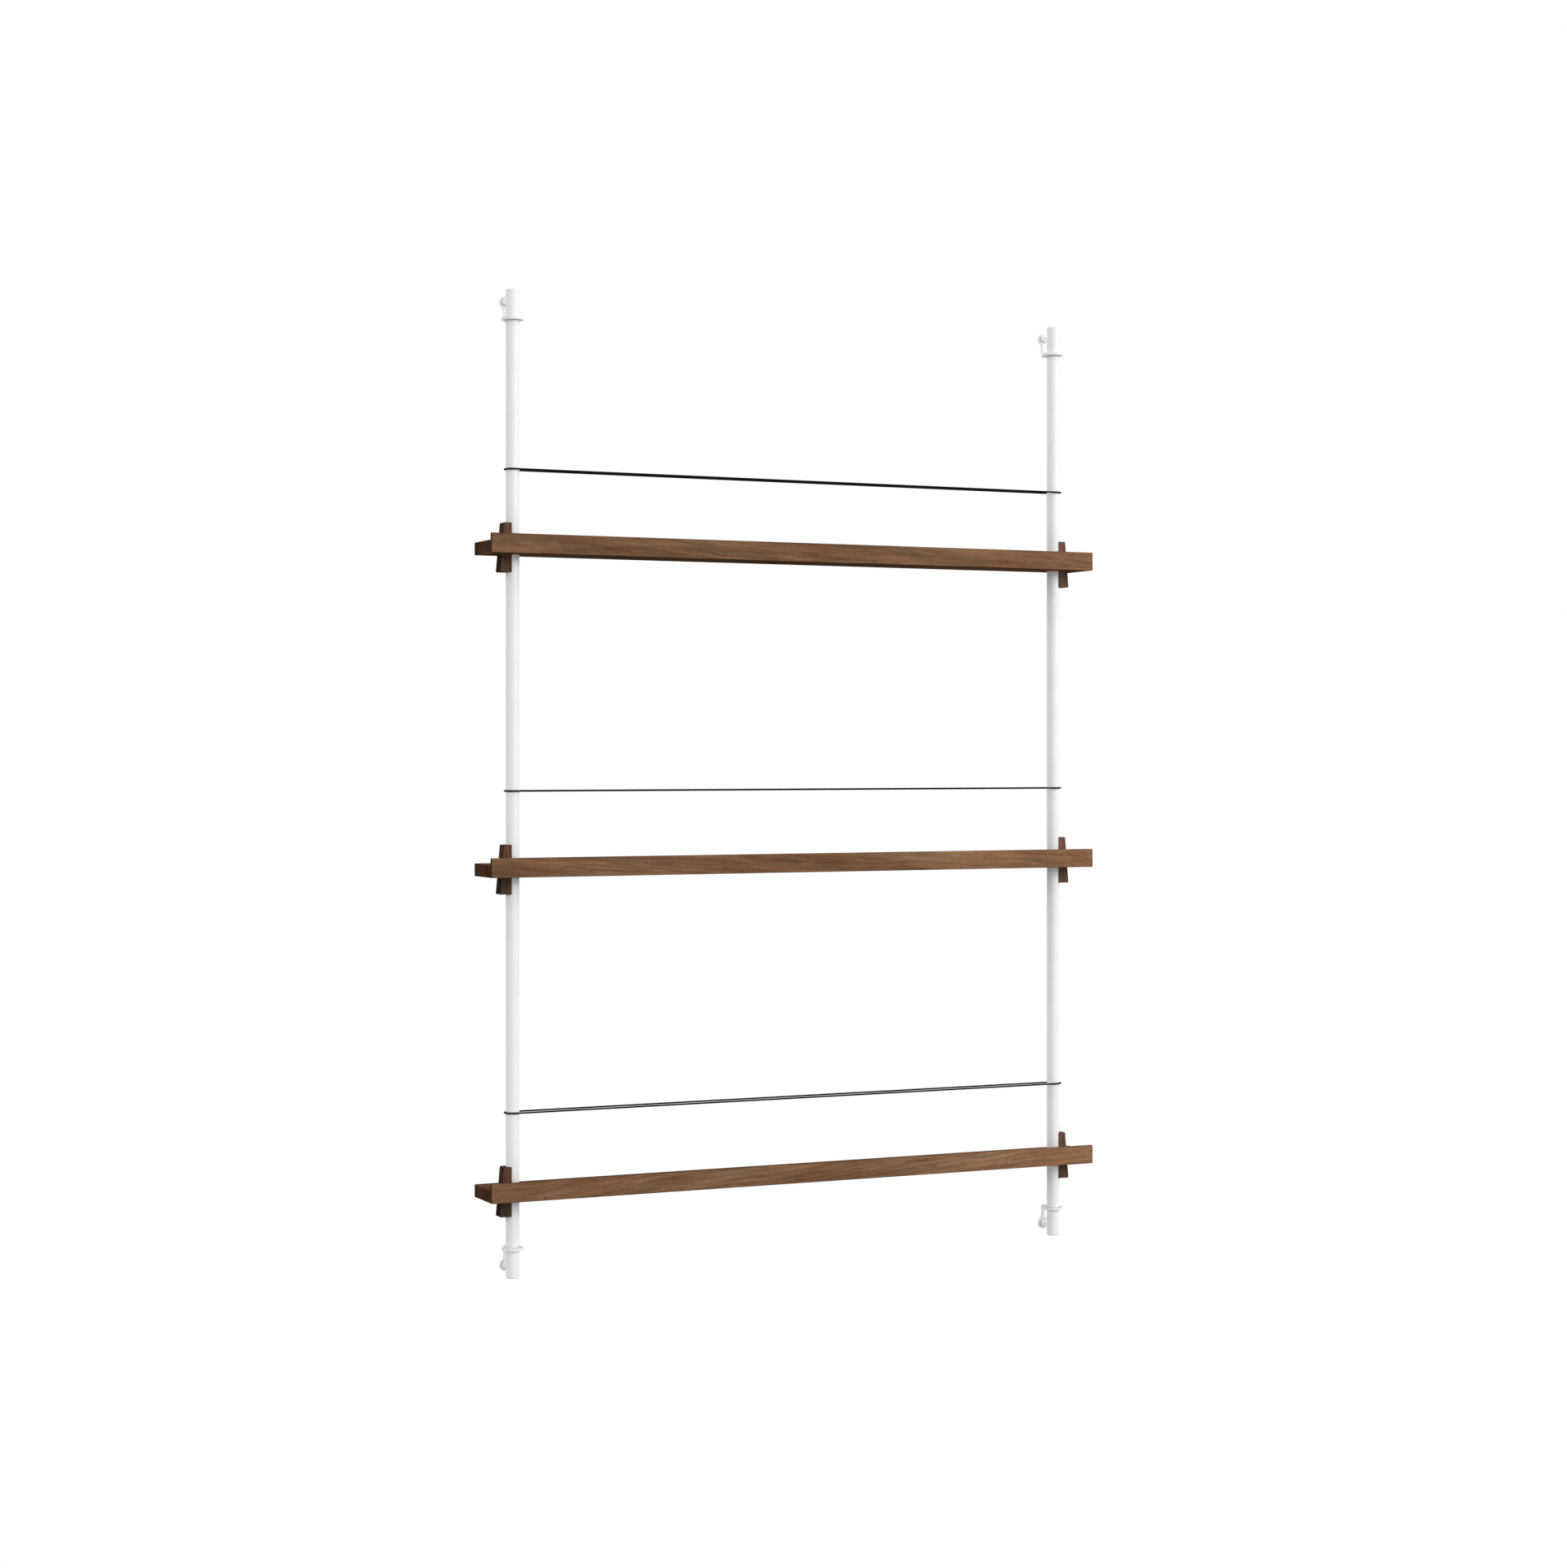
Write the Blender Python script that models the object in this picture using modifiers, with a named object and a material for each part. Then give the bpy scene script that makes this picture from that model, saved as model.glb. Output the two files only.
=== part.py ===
"""Wall-hung magazine shelf: two rods on wall brackets, three lipped shelves that wedges lock on the rods,
and an elastic band over each shelf. Every physical piece is its own object, in metres."""

import math

import bmesh
import bpy
from mathutils import Matrix, Vector

# +X runs along the shelves, -Y faces the room and +Z is up. The wall is the plane Y = 0, the lower ends of
# the rods are at Z = 0, and X = 0 is midway between the rods.

# Clearance between two pieces that touch
SEAT_GAP = 0.0003

# Rods
ROD_DIAMETER = 0.016
ROD_CHAMFER = 0.001
ROD_SPACING = 0.725
ROD_TO_WALL = 0.027
ROD_BELOW_SHELVES = 0.093
ROD_ABOVE_SHELVES = 0.309

# Shelves: a plank with a lip along its front
SHELF_PITCH = 0.374
SHELF_OVERHANG = 0.0375
SHELF_IN_FRONT_OF_ROD = 0.035
SHELF_WALL_GAP = 0.0005
PLANK_THICKNESS = 0.015
LIP_HEIGHT = 0.0077
LIP_THICKNESS = 0.0055
SHELF_EDGE_RADIUS = 0.001
SLOT_EDGE_RADIUS = 0.0005

# Wedges: one at each rod of each shelf, hollowed to hold the rod
WEDGE_DEPTH = 0.016
WEDGE_WOOD_AT_TOP = 0.0048
WEDGE_ANGLE = math.radians(4.9)
WEDGE_ABOVE_PLANK = 0.0222
WEDGE_BELOW_PLANK = 0.0205
WEDGE_HOLLOW_DEPTH = 0.0045
WEDGE_CORNER_RADIUS = 0.0012
WEDGE_EDGE_RADIUS = 0.0003

# Bands: a closed cord round both rods
BAND_RISE = 0.0995
BAND_THICKNESS = 0.002

# Wall brackets: a flat strip with a ring at one end and a round plate at the other, bent at a right angle
BRACKET_THICKNESS = 0.003
BRACKET_FROM_ROD_END = 0.036
RING_WALL = 0.005
NECK_WIDTH = 0.004
NECK_FILLET = 0.006
BEND_RADIUS = 0.002
WALL_PLATE_DIAMETER = 0.0142
WALL_PLATE_FROM_ROD_END = 0.0115
BRACKET_EDGE_RADIUS = 0.0003

# Wall screws
SCREW_SHANK_DIAMETER = 0.004
SCREW_LENGTH = 0.035
SCREW_TIP_LENGTH = 0.006
SCREW_HEAD_DIAMETER = 0.0096
SCREW_HEAD_HEIGHT = 0.0026
SCREW_RIM_HEIGHT = 0.0005
RECESS_WIDTH = 0.0012
RECESS_TIP_WIDTH = 0.0009
RECESS_SPAN = 0.0048
RECESS_DEPTH = 0.0015

# Sizes that follow from the ones above
ROD_RADIUS = ROD_DIAMETER / 2
ROD_HOLE_RADIUS = ROD_RADIUS + SEAT_GAP
ROD_LENGTH = ROD_BELOW_SHELVES + 2 * SHELF_PITCH + ROD_ABOVE_SHELVES
SHELF_LENGTH = ROD_SPACING + 2 * SHELF_OVERHANG
SHELF_HEIGHTS = {
    "bottom": ROD_BELOW_SHELVES,
    "middle": ROD_BELOW_SHELVES + SHELF_PITCH,
    "top": ROD_BELOW_SHELVES + 2 * SHELF_PITCH,
}
SIDES = {"left": -1, "right": 1}
WEDGE_TOP = PLANK_THICKNESS + WEDGE_ABOVE_PLANK
WEDGE_INNER_FACE = ROD_HOLE_RADIUS - WEDGE_HOLLOW_DEPTH
RING_RADIUS = ROD_RADIUS + RING_WALL
WALL_PLATE_RADIUS = WALL_PLATE_DIAMETER / 2
PLATE_RISE = BRACKET_FROM_ROD_END - WALL_PLATE_FROM_ROD_END
BAND_TURN_RADIUS = ROD_RADIUS + SEAT_GAP + BAND_THICKNESS / 2
SCREW_HOLE_RADIUS = SCREW_SHANK_DIAMETER / 2 + SEAT_GAP

# Facets round a full turn, or along a quarter turn
ROD_FACETS = 40
ROD_HOLE_FACETS = 32
PLATE_FACETS = 24
SCREW_HOLE_FACETS = 16
SCREW_FACETS = 24
BAND_FACETS = 24
DOME_STEPS = 6
FILLET_STEPS = 4
WEDGE_CORNER_STEPS = 4
BEND_STEPS = 4
BAND_SECTION_STEPS = 2
ROUNDED_EDGE_STEPS = 2
BROKEN_EDGE_STEPS = 1

# Tolerances of the mesh work
CUTTER_MARGIN = 0.004
WELD_DISTANCE = 0.000001
FLAT_ANGLE = math.radians(0.1)
SMOOTH_ANGLE = math.radians(35)
CORNER_ANGLE = math.radians(50)


def remove_everything():
    for old in list(bpy.data.objects):
        bpy.data.objects.remove(old)


def add_collection(name, hidden=False):
    made = bpy.data.collections.new(name)
    made.hide_render = hidden
    bpy.context.scene.collection.children.link(made)
    return made


def add_material(name, color, roughness, metallic=0.0):
    made = bpy.data.materials.new(name)
    made.use_nodes = True
    made.diffuse_color = (*color, 1)
    shader = made.node_tree.nodes["Principled BSDF"]
    shader.inputs["Base Color"].default_value = (*color, 1)
    shader.inputs["Roughness"].default_value = roughness
    shader.inputs["Metallic"].default_value = metallic
    return made


def add_object(name, mesh, collection, material=None):
    made = bpy.data.objects.new(name, mesh)
    collection.objects.link(made)
    if material:
        mesh.materials.clear()
        mesh.materials.append(material)
    return made


def add_cutter(name, mesh):
    made = add_object(name, mesh, CUTTERS)
    made.hide_render = True
    made.display_type = "WIRE"
    return made


def add_boolean(target, cutter):
    cut = target.modifiers.new(cutter.name, "BOOLEAN")
    cut.operation = "DIFFERENCE"
    cut.solver = "EXACT"
    cut.object = cutter


def add_bevel(target, width, segments):
    """Rounds every edge that is at least as sharp as CORNER_ANGLE."""
    bevel = target.modifiers.new("edges", "BEVEL")
    bevel.width = width
    bevel.segments = segments
    bevel.limit_method = "ANGLE"
    bevel.angle_limit = CORNER_ANGLE


def finished_mesh(helper, name):
    """The helper's shape with its modifiers applied, welded, with each flat side as one face where it has no
    hole. The helper is removed."""
    bpy.context.view_layer.update()
    evaluated = helper.evaluated_get(bpy.context.evaluated_depsgraph_get())
    mesh = bpy.data.meshes.new_from_object(evaluated)
    mesh.name = name
    shape = bmesh.new()
    shape.from_mesh(mesh)
    bmesh.ops.remove_doubles(shape, verts=shape.verts, dist=WELD_DISTANCE)
    bmesh.ops.dissolve_limit(shape, angle_limit=FLAT_ANGLE, verts=shape.verts, edges=shape.edges)
    bmesh.ops.recalc_face_normals(shape, faces=shape.faces)
    shape.to_mesh(mesh)
    shape.free()
    bpy.data.objects.remove(helper)
    return mesh


def smooth(mesh):
    mesh.shade_smooth()
    mesh.set_sharp_from_angle(angle=SMOOTH_ANGLE)


def arc(centre, radius, start, end, steps):
    """Points along a circular arc from one angle to another, both ends included, in degrees."""
    points = []
    for step in range(steps + 1):
        angle = math.radians(start + (end - start) * step / steps)
        points.append((centre[0] + radius * math.cos(angle), centre[1] + radius * math.sin(angle)))
    return points


def prism(name, outlines, low, high):
    """A flat outline in X and Y, with any holes after it, as a closed mesh from Z = low to Z = high."""
    flat = bpy.data.curves.new(name, "CURVE")
    flat.dimensions = "2D"
    flat.fill_mode = "BOTH"
    flat.extrude = (high - low) / 2
    for outline in outlines:
        spline = flat.splines.new("POLY")
        spline.points.add(len(outline) - 1)
        for point, (x, y) in zip(spline.points, outline):
            point.co = (x, y, 0, 1)
        spline.use_cyclic_u = True
    mesh = finished_mesh(add_object(name, flat, CUTTERS), name)
    mesh.transform(Matrix.Translation((0, 0, (low + high) / 2)))
    return mesh


def turned(name, profile, facets):
    """A profile of (radius, height) points, listed down the outer side, turned about Z."""
    mesh = bpy.data.meshes.new(name)
    points = [(radius, 0, height) for radius, height in profile]
    mesh.from_pydata(points, [(i, i + 1) for i in range(len(points) - 1)], [])
    helper = add_object(name, mesh, CUTTERS)
    turn = helper.modifiers.new("turn", "SCREW")
    turn.steps = facets
    turn.render_steps = facets
    turn.use_merge_vertices = True
    turn.merge_threshold = WELD_DISTANCE * 10
    return finished_mesh(helper, name)


def bar_mesh(name, radius, low, high):
    """A plain round bar about Z, from Z = low to Z = high."""
    bar = bmesh.new()
    bmesh.ops.create_cone(
        bar, cap_ends=True, segments=ROD_FACETS, radius1=radius, radius2=radius, depth=high - low
    )
    bmesh.ops.translate(bar, verts=bar.verts, vec=(0, 0, (low + high) / 2))
    mesh = bpy.data.meshes.new(name)
    bar.to_mesh(mesh)
    bar.free()
    return mesh


def rod_mesh():
    """The rod, standing on Z = 0, with both rims chamfered."""
    helper = add_object("rod_helper", bar_mesh("rod", ROD_RADIUS, 0, ROD_LENGTH), CUTTERS)
    add_bevel(helper, ROD_CHAMFER, ROUNDED_EDGE_STEPS)
    return finished_mesh(helper, "rod")


def wedge_outer_face(height):
    """Distance from the rod's axis to the wedge's slanted outer face, at a height above the plank's underside."""
    below_top = WEDGE_TOP - height
    return ROD_HOLE_RADIUS + WEDGE_WOOD_AT_TOP + below_top * math.tan(WEDGE_ANGLE)


def slant(mesh, gap=0.0):
    """Moves the outermost points of a prism along X, so that its outer wall lies on the wedge's slope."""
    outer = max(vertex.co.x for vertex in mesh.vertices)
    for vertex in mesh.vertices:
        if vertex.co.x > outer - WELD_DISTANCE:
            vertex.co.x = wedge_outer_face(vertex.co.z) + gap / math.cos(WEDGE_ANGLE)


def slot_mesh():
    """The slot's shape: half round where the rod bears, straight sides, and an outer wall on the wedge's slope.
    The rod's axis is at X = 0 and the wedge is at +X."""
    half_width = max(WEDGE_DEPTH / 2 + SEAT_GAP, ROD_HOLE_RADIUS)
    outer = wedge_outer_face(0)
    square_end = [(outer, -half_width), (outer, half_width)]
    if half_width > ROD_HOLE_RADIUS + WELD_DISTANCE:
        square_end = [(0, -half_width), *square_end, (0, half_width)]
    outline = arc((0, 0), ROD_HOLE_RADIUS, 90, 270, ROD_FACETS // 2) + square_end
    mesh = prism("slot", [outline], -CUTTER_MARGIN, PLANK_THICKNESS + CUTTER_MARGIN)
    slant(mesh, gap=SEAT_GAP)
    return mesh


def shelf_mesh():
    """The plank and its lip from one L-shaped profile, with a slot at each rod. The rods' axes lie on Y = 0."""
    front = -SHELF_IN_FRONT_OF_ROD
    rear = ROD_TO_WALL - SHELF_WALL_GAP
    lip_rear = front + LIP_THICKNESS
    lip_top = PLANK_THICKNESS + LIP_HEIGHT
    profile = [
        (front, 0),
        (rear, 0),
        (rear, PLANK_THICKNESS),
        (lip_rear, PLANK_THICKNESS),
        (lip_rear, lip_top),
        (front, lip_top),
    ]
    mesh = prism("shelf", [profile], -SHELF_LENGTH / 2, SHELF_LENGTH / 2)
    profile_to_shelf = Matrix(((0, 0, 1, 0), (1, 0, 0, 0), (0, 1, 0, 0), (0, 0, 0, 1)))
    mesh.transform(profile_to_shelf)
    helper = add_object("shelf_helper", mesh, CUTTERS)
    add_bevel(helper, SHELF_EDGE_RADIUS, ROUNDED_EDGE_STEPS)
    slot = slot_mesh()
    for side, direction in SIDES.items():
        cutter = add_cutter("slot_" + side, slot)
        cutter.location = (direction * ROD_SPACING / 2, 0, 0)
        cutter.rotation_euler = (0, 0, 0 if direction > 0 else math.pi)
        add_boolean(helper, cutter)
    add_bevel(helper, SLOT_EDGE_RADIUS, BROKEN_EDGE_STEPS)
    return finished_mesh(helper, "shelf")


def wedge_mesh():
    """The wedge for a rod whose axis is X = 0, standing at +X, with heights from the plank's underside. Its side
    view, with the two outer corners rounded, is raised to the wedge's depth, and the rod's hollow is cut out."""
    radius = WEDGE_CORNER_RADIUS
    bottom = -WEDGE_BELOW_PLANK
    slope = math.degrees(WEDGE_ANGLE)
    inset = radius / math.cos(WEDGE_ANGLE)
    lower_corner = (wedge_outer_face(bottom + radius) - inset, bottom + radius)
    upper_corner = (wedge_outer_face(WEDGE_TOP - radius) - inset, WEDGE_TOP - radius)
    side_view = [(WEDGE_INNER_FACE, WEDGE_TOP), (WEDGE_INNER_FACE, bottom)]
    side_view += arc(lower_corner, radius, -90, slope, WEDGE_CORNER_STEPS)
    side_view += arc(upper_corner, radius, slope, 90, WEDGE_CORNER_STEPS)
    mesh = prism("wedge", [side_view], -WEDGE_DEPTH / 2, WEDGE_DEPTH / 2)
    mesh.transform(Matrix.Rotation(math.pi / 2, 4, "X"))
    helper = add_object("wedge_helper", mesh, CUTTERS)
    hollow = bar_mesh("rod_hollow", ROD_HOLE_RADIUS, bottom - CUTTER_MARGIN, WEDGE_TOP + CUTTER_MARGIN)
    add_boolean(helper, add_cutter("rod_hollow", hollow))
    add_bevel(helper, WEDGE_EDGE_RADIUS, ROUNDED_EDGE_STEPS)
    return finished_mesh(helper, "wedge")


def lobe(radius, flip, facets):
    """Half of a strip's outline at one end: from the neck's edge, round a fillet and the round end, to the
    neck's other edge. The round end's centre is the origin, and the neck leaves along +Y, or -Y when flipped."""
    half_neck = NECK_WIDTH / 2
    fillet_x = half_neck + NECK_FILLET
    fillet_y = math.sqrt((radius + NECK_FILLET) ** 2 - fillet_x**2)
    meet = math.degrees(math.atan2(fillet_y, fillet_x))
    points = arc((-fillet_x, fillet_y), NECK_FILLET, 0, -meet, FILLET_STEPS)
    points += arc((0, 0), radius, 180 - meet, 360 + meet, facets)[1:-1]
    points += arc((fillet_x, fillet_y), NECK_FILLET, 180 + meet, 180, FILLET_STEPS)
    return [(-x, -y) for x, y in points] if flip else points


def bend(point, bend_start):
    """Where a point of the flat strip goes when the strip is bent up along the wall. Its second number is the
    distance along the strip from the rod's axis, its third the distance through the strip."""
    x, along, through = point
    neutral_radius = BEND_RADIUS + BRACKET_THICKNESS / 2
    turn = min(max((along - bend_start) / neutral_radius, 0), math.pi / 2)
    radius = BEND_RADIUS + BRACKET_THICKNESS - through
    before = min(along, bend_start)
    after = max(along - bend_start - neutral_radius * math.pi / 2, 0)
    y = before + radius * math.sin(turn)
    z = BEND_RADIUS + BRACKET_THICKNESS - radius * math.cos(turn) + after
    return Vector((x, y, z))


def bracket_mesh():
    """The upper bracket: its ring lies on Z = 0 round the rod's axis, and its round plate stands on the wall."""
    bend_start = ROD_TO_WALL - BRACKET_THICKNESS - BEND_RADIUS
    bend_length = (BEND_RADIUS + BRACKET_THICKNESS / 2) * math.pi / 2
    plate_centre = bend_start + bend_length + PLATE_RISE - BEND_RADIUS - BRACKET_THICKNESS
    ring = lobe(RING_RADIUS, False, ROD_HOLE_FACETS)
    plate = [(x, y + plate_centre) for x, y in lobe(WALL_PLATE_RADIUS, True, PLATE_FACETS)]
    rod_hole = arc((0, 0), ROD_HOLE_RADIUS, 0, 360, ROD_HOLE_FACETS)[:-1]
    screw_hole = arc((0, plate_centre), SCREW_HOLE_RADIUS, 0, 360, SCREW_HOLE_FACETS)[:-1]
    mesh = prism("bracket", [ring + plate, rod_hole, screw_hole], 0, BRACKET_THICKNESS)
    strip = bmesh.new()
    strip.from_mesh(mesh)
    for cut in range(BEND_STEPS + 1):
        line = Vector((0, bend_start + bend_length * cut / BEND_STEPS, 0))
        everything = strip.verts[:] + strip.edges[:] + strip.faces[:]
        bmesh.ops.bisect_plane(strip, geom=everything, dist=WELD_DISTANCE, plane_co=line, plane_no=(0, 1, 0))
    for vertex in strip.verts:
        vertex.co = bend(vertex.co, bend_start)
    strip.to_mesh(mesh)
    strip.free()
    helper = add_object("bracket_helper", mesh, CUTTERS)
    add_bevel(helper, BRACKET_EDGE_RADIUS, BROKEN_EDGE_STEPS)
    return finished_mesh(helper, "bracket")


def screw_mesh():
    """A domed wood screw along Z, its head above Z = 0 and its shank below, with a cross recess."""
    head_radius = SCREW_HEAD_DIAMETER / 2
    shank_radius = SCREW_SHANK_DIAMETER / 2
    dome_height = SCREW_HEAD_HEIGHT - SCREW_RIM_HEIGHT
    profile = []
    for step in range(DOME_STEPS + 1):
        angle = math.pi / 2 * step / DOME_STEPS
        profile.append((head_radius * math.sin(angle), SCREW_RIM_HEIGHT + dome_height * math.cos(angle)))
    profile += [
        (head_radius, 0),
        (shank_radius, 0),
        (shank_radius, SCREW_TIP_LENGTH - SCREW_LENGTH),
        (0, -SCREW_LENGTH),
    ]
    helper = add_object("screw_helper", turned("screw_blank", profile, SCREW_FACETS), CUTTERS)
    arm = RECESS_SPAN / 2
    half = RECESS_WIDTH / 2
    tip = RECESS_TIP_WIDTH / 2
    cross = [(arm, tip), (half, half), (tip, arm), (-tip, arm), (-half, half), (-arm, tip)]
    cross += [(-x, -y) for x, y in cross]
    deepest = SCREW_HEAD_HEIGHT - RECESS_DEPTH
    add_boolean(helper, add_cutter("recess", prism("recess", [cross], deepest, SCREW_HEAD_HEIGHT * 2)))
    return finished_mesh(helper, "screw")


def band_curve():
    """A taut loop round both rods at Z = 0: two straight strands and a half turn at each rod."""
    half = ROD_SPACING / 2
    route = arc((half, 0), BAND_TURN_RADIUS, -90, 90, BAND_FACETS // 2)
    route += arc((-half, 0), BAND_TURN_RADIUS, 90, 270, BAND_FACETS // 2)
    loop = bpy.data.curves.new("band", "CURVE")
    loop.dimensions = "3D"
    loop.bevel_depth = BAND_THICKNESS / 2
    loop.bevel_resolution = BAND_SECTION_STEPS
    spline = loop.splines.new("POLY")
    spline.points.add(len(route) - 1)
    for point, (x, y) in zip(spline.points, route):
        point.co = (x, y, 0, 1)
    spline.use_cyclic_u = True
    return loop


def place_rods():
    rod = rod_mesh()
    smooth(rod)
    for side, direction in SIDES.items():
        upright = add_object("rod_" + side, rod, SHELF, WHITE_COAT)
        upright.location = (direction * ROD_SPACING / 2, -ROD_TO_WALL, 0)


def place_brackets():
    """The lower brackets are the upper ones turned half round about Y. Each takes one screw."""
    bracket = bracket_mesh()
    screw = screw_mesh()
    smooth(bracket)
    smooth(screw)
    ends = {
        "top": (ROD_LENGTH - BRACKET_FROM_ROD_END, ROD_LENGTH - WALL_PLATE_FROM_ROD_END, 0),
        "bottom": (BRACKET_FROM_ROD_END, WALL_PLATE_FROM_ROD_END, math.pi),
    }
    for end, (ring_height, plate_height, turn) in ends.items():
        for side, direction in SIDES.items():
            x = direction * ROD_SPACING / 2
            holder = add_object(f"wall_bracket_{end}_{side}", bracket, SHELF, WHITE_COAT)
            holder.location = (x, -ROD_TO_WALL, ring_height)
            holder.rotation_euler = (0, turn, 0)
            fixing = add_object(f"wall_screw_{end}_{side}", screw, SHELF, WHITE_SCREW)
            fixing.location = (x, -BRACKET_THICKNESS - SEAT_GAP, plate_height)
            fixing.rotation_euler = (math.pi / 2, 0, 0)


def place_shelves():
    """Each shelf's origin is on its underside, midway between the rods' axes. It carries its two wedges."""
    shelf = shelf_mesh()
    wedge = wedge_mesh()
    smooth(shelf)
    smooth(wedge)
    for level, height in SHELF_HEIGHTS.items():
        board = add_object("shelf_" + level, shelf, SHELF, DARK_WOOD)
        board.location = (0, -ROD_TO_WALL, height)
        for side, direction in SIDES.items():
            lock = add_object(f"wedge_{level}_{side}", wedge, SHELF, WEDGE_WOOD)
            lock.parent = board
            lock.location = (direction * ROD_SPACING / 2, 0, 0)
            lock.rotation_euler = (0, 0, 0 if direction > 0 else math.pi)


def place_bands():
    loop = band_curve()
    for level, height in SHELF_HEIGHTS.items():
        band = add_object("band_" + level, loop, SHELF, BLACK_ELASTIC)
        band.location = (0, -ROD_TO_WALL, height + BAND_RISE)


remove_everything()
SHELF = add_collection("magazine_shelf")
CUTTERS = add_collection("cutters", hidden=True)
WHITE_COAT = add_material("white_powder_coat", (0.80, 0.80, 0.79), roughness=0.45)
WHITE_SCREW = add_material("white_screw_enamel", (0.78, 0.78, 0.77), roughness=0.35)
DARK_WOOD = add_material("dark_brown_wood", (0.18, 0.095, 0.055), roughness=0.55)
WEDGE_WOOD = add_material("wedge_brown_wood", (0.15, 0.078, 0.045), roughness=0.55)
BLACK_ELASTIC = add_material("black_elastic", (0.012, 0.012, 0.012), roughness=0.7)
place_rods()
place_brackets()
place_shelves()
place_bands()
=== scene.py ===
# %% [markdown]
# # A wall-hung magazine shelf
# Two round white rods stand a little way off the wall on four small bent brackets. Three long wooden
# shelves sit on the rods, each locked by two wooden wedges, and a thin black elastic band runs round both
# rods above each shelf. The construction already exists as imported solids, which are exact but faceted.
# This lesson dresses them: each piece gets a finer mesh of the same size, and the finish that the real
# one has.

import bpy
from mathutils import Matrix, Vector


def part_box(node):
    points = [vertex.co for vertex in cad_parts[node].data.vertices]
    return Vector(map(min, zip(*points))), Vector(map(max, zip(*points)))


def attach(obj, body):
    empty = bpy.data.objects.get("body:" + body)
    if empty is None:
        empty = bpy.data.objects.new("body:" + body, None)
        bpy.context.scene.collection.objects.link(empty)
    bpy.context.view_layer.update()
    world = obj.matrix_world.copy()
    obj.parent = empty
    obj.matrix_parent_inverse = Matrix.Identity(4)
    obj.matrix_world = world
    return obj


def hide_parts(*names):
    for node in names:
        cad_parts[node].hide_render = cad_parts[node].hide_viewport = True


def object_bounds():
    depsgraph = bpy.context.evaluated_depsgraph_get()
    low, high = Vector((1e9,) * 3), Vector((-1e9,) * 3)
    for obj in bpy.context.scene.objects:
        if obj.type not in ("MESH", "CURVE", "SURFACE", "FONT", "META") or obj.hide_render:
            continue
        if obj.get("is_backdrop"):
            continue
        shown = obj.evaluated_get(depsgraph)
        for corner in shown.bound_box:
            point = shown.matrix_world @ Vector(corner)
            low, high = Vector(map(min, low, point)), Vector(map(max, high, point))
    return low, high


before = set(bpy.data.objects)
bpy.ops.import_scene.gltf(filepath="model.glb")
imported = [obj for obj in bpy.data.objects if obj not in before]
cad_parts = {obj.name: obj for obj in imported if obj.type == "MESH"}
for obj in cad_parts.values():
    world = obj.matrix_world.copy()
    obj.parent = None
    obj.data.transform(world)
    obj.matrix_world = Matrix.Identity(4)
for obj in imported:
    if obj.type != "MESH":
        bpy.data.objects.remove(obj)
cad_low, cad_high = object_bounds()
print("The packed model is", [round(side, 4) for side in cad_high - cad_low], "metres")

# %% Blender's modules
import math

import bmesh
import bpy
from mathutils import Matrix, Vector

# %% [markdown]
# ## Measuring before making
# A fitter measures the rods before cutting anything to go on them, and the same habit helps here. The
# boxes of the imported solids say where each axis, face and underside lies, so they could be typed in or
# read. They are read, because then every mesh below still fits if a size changes. Only what a box can't
# tell, such as the thickness of a lip, has a value of its own.

# %% Read the axes, faces and heights
SIDES = {"left": -1, "right": 1}
LEVELS = ("top", "middle", "bottom")
ENDS = {"top": 1, "bottom": -1}

rod_low, rod_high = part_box("rod_right")
ROD_RADIUS = (rod_high.x - rod_low.x) / 2
ROD_X = (rod_low.x + rod_high.x) / 2
ROD_Y = (rod_low.y + rod_high.y) / 2
shelf_low, shelf_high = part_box("shelf_top")
UNDERSIDES = {level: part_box("shelf_" + level)[0].z for level in LEVELS}
SEAT_GAP = 0.0003
ROD_HOLE_RADIUS = ROD_RADIUS + SEAT_GAP
print("Rod radius", round(ROD_RADIUS, 4), "at X", round(ROD_X, 4), "and Y", round(ROD_Y, 4))
print("A shelf measures", [round(side, 4) for side in shelf_high - shelf_low], "metres")
print("Shelf undersides", {level: round(height, 4) for level, height in UNDERSIDES.items()})

# %% [markdown]
# ## The camera first
# A camera that stands where the photographer stood makes every later comparison easy. It could be moved
# about by eye. Here its place and focal length come from fitting the corners of the shelves and the ends
# of the rods to their pixels. It looks level, and a small upward or downward shift, not a tilt, sets how
# high the object sits in the frame, which keeps the rods exactly upright.

# %% Place the camera
PHOTO_ROWS = 1932
HORIZON_ROW = 929
FOCAL_LENGTH_IN_ROWS = 3610
SENSOR_WIDTH = 36
CAMERA_PLACE = (-1.518, -3.248, 0.6095)
CAMERA_TURN = math.radians(-25.02)
QUARTER_TURN = math.radians(90)

lens = bpy.data.cameras.new("camera")
lens.sensor_width = SENSOR_WIDTH
lens.lens = SENSOR_WIDTH * FOCAL_LENGTH_IN_ROWS / PHOTO_ROWS
lens.shift_y = (HORIZON_ROW - PHOTO_ROWS / 2) / PHOTO_ROWS
camera = bpy.data.objects.new("camera", lens)
camera.location = CAMERA_PLACE
camera.rotation_euler = (QUARTER_TURN, 0, CAMERA_TURN)
bpy.context.scene.collection.objects.link(camera)
bpy.context.scene.camera = camera
print("Focal length", round(lens.lens, 2), "mm, shift", round(lens.shift_y, 4))

# %% [markdown]
# ## Nodes without clutter
# A material is a small graph of nodes. Each node could be made, placed and wired in four lines. The
# helper below does it in one call: a value given for a socket is set there, and a socket given for a
# socket is linked to it. The graphs then read from top to bottom like a recipe.

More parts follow.
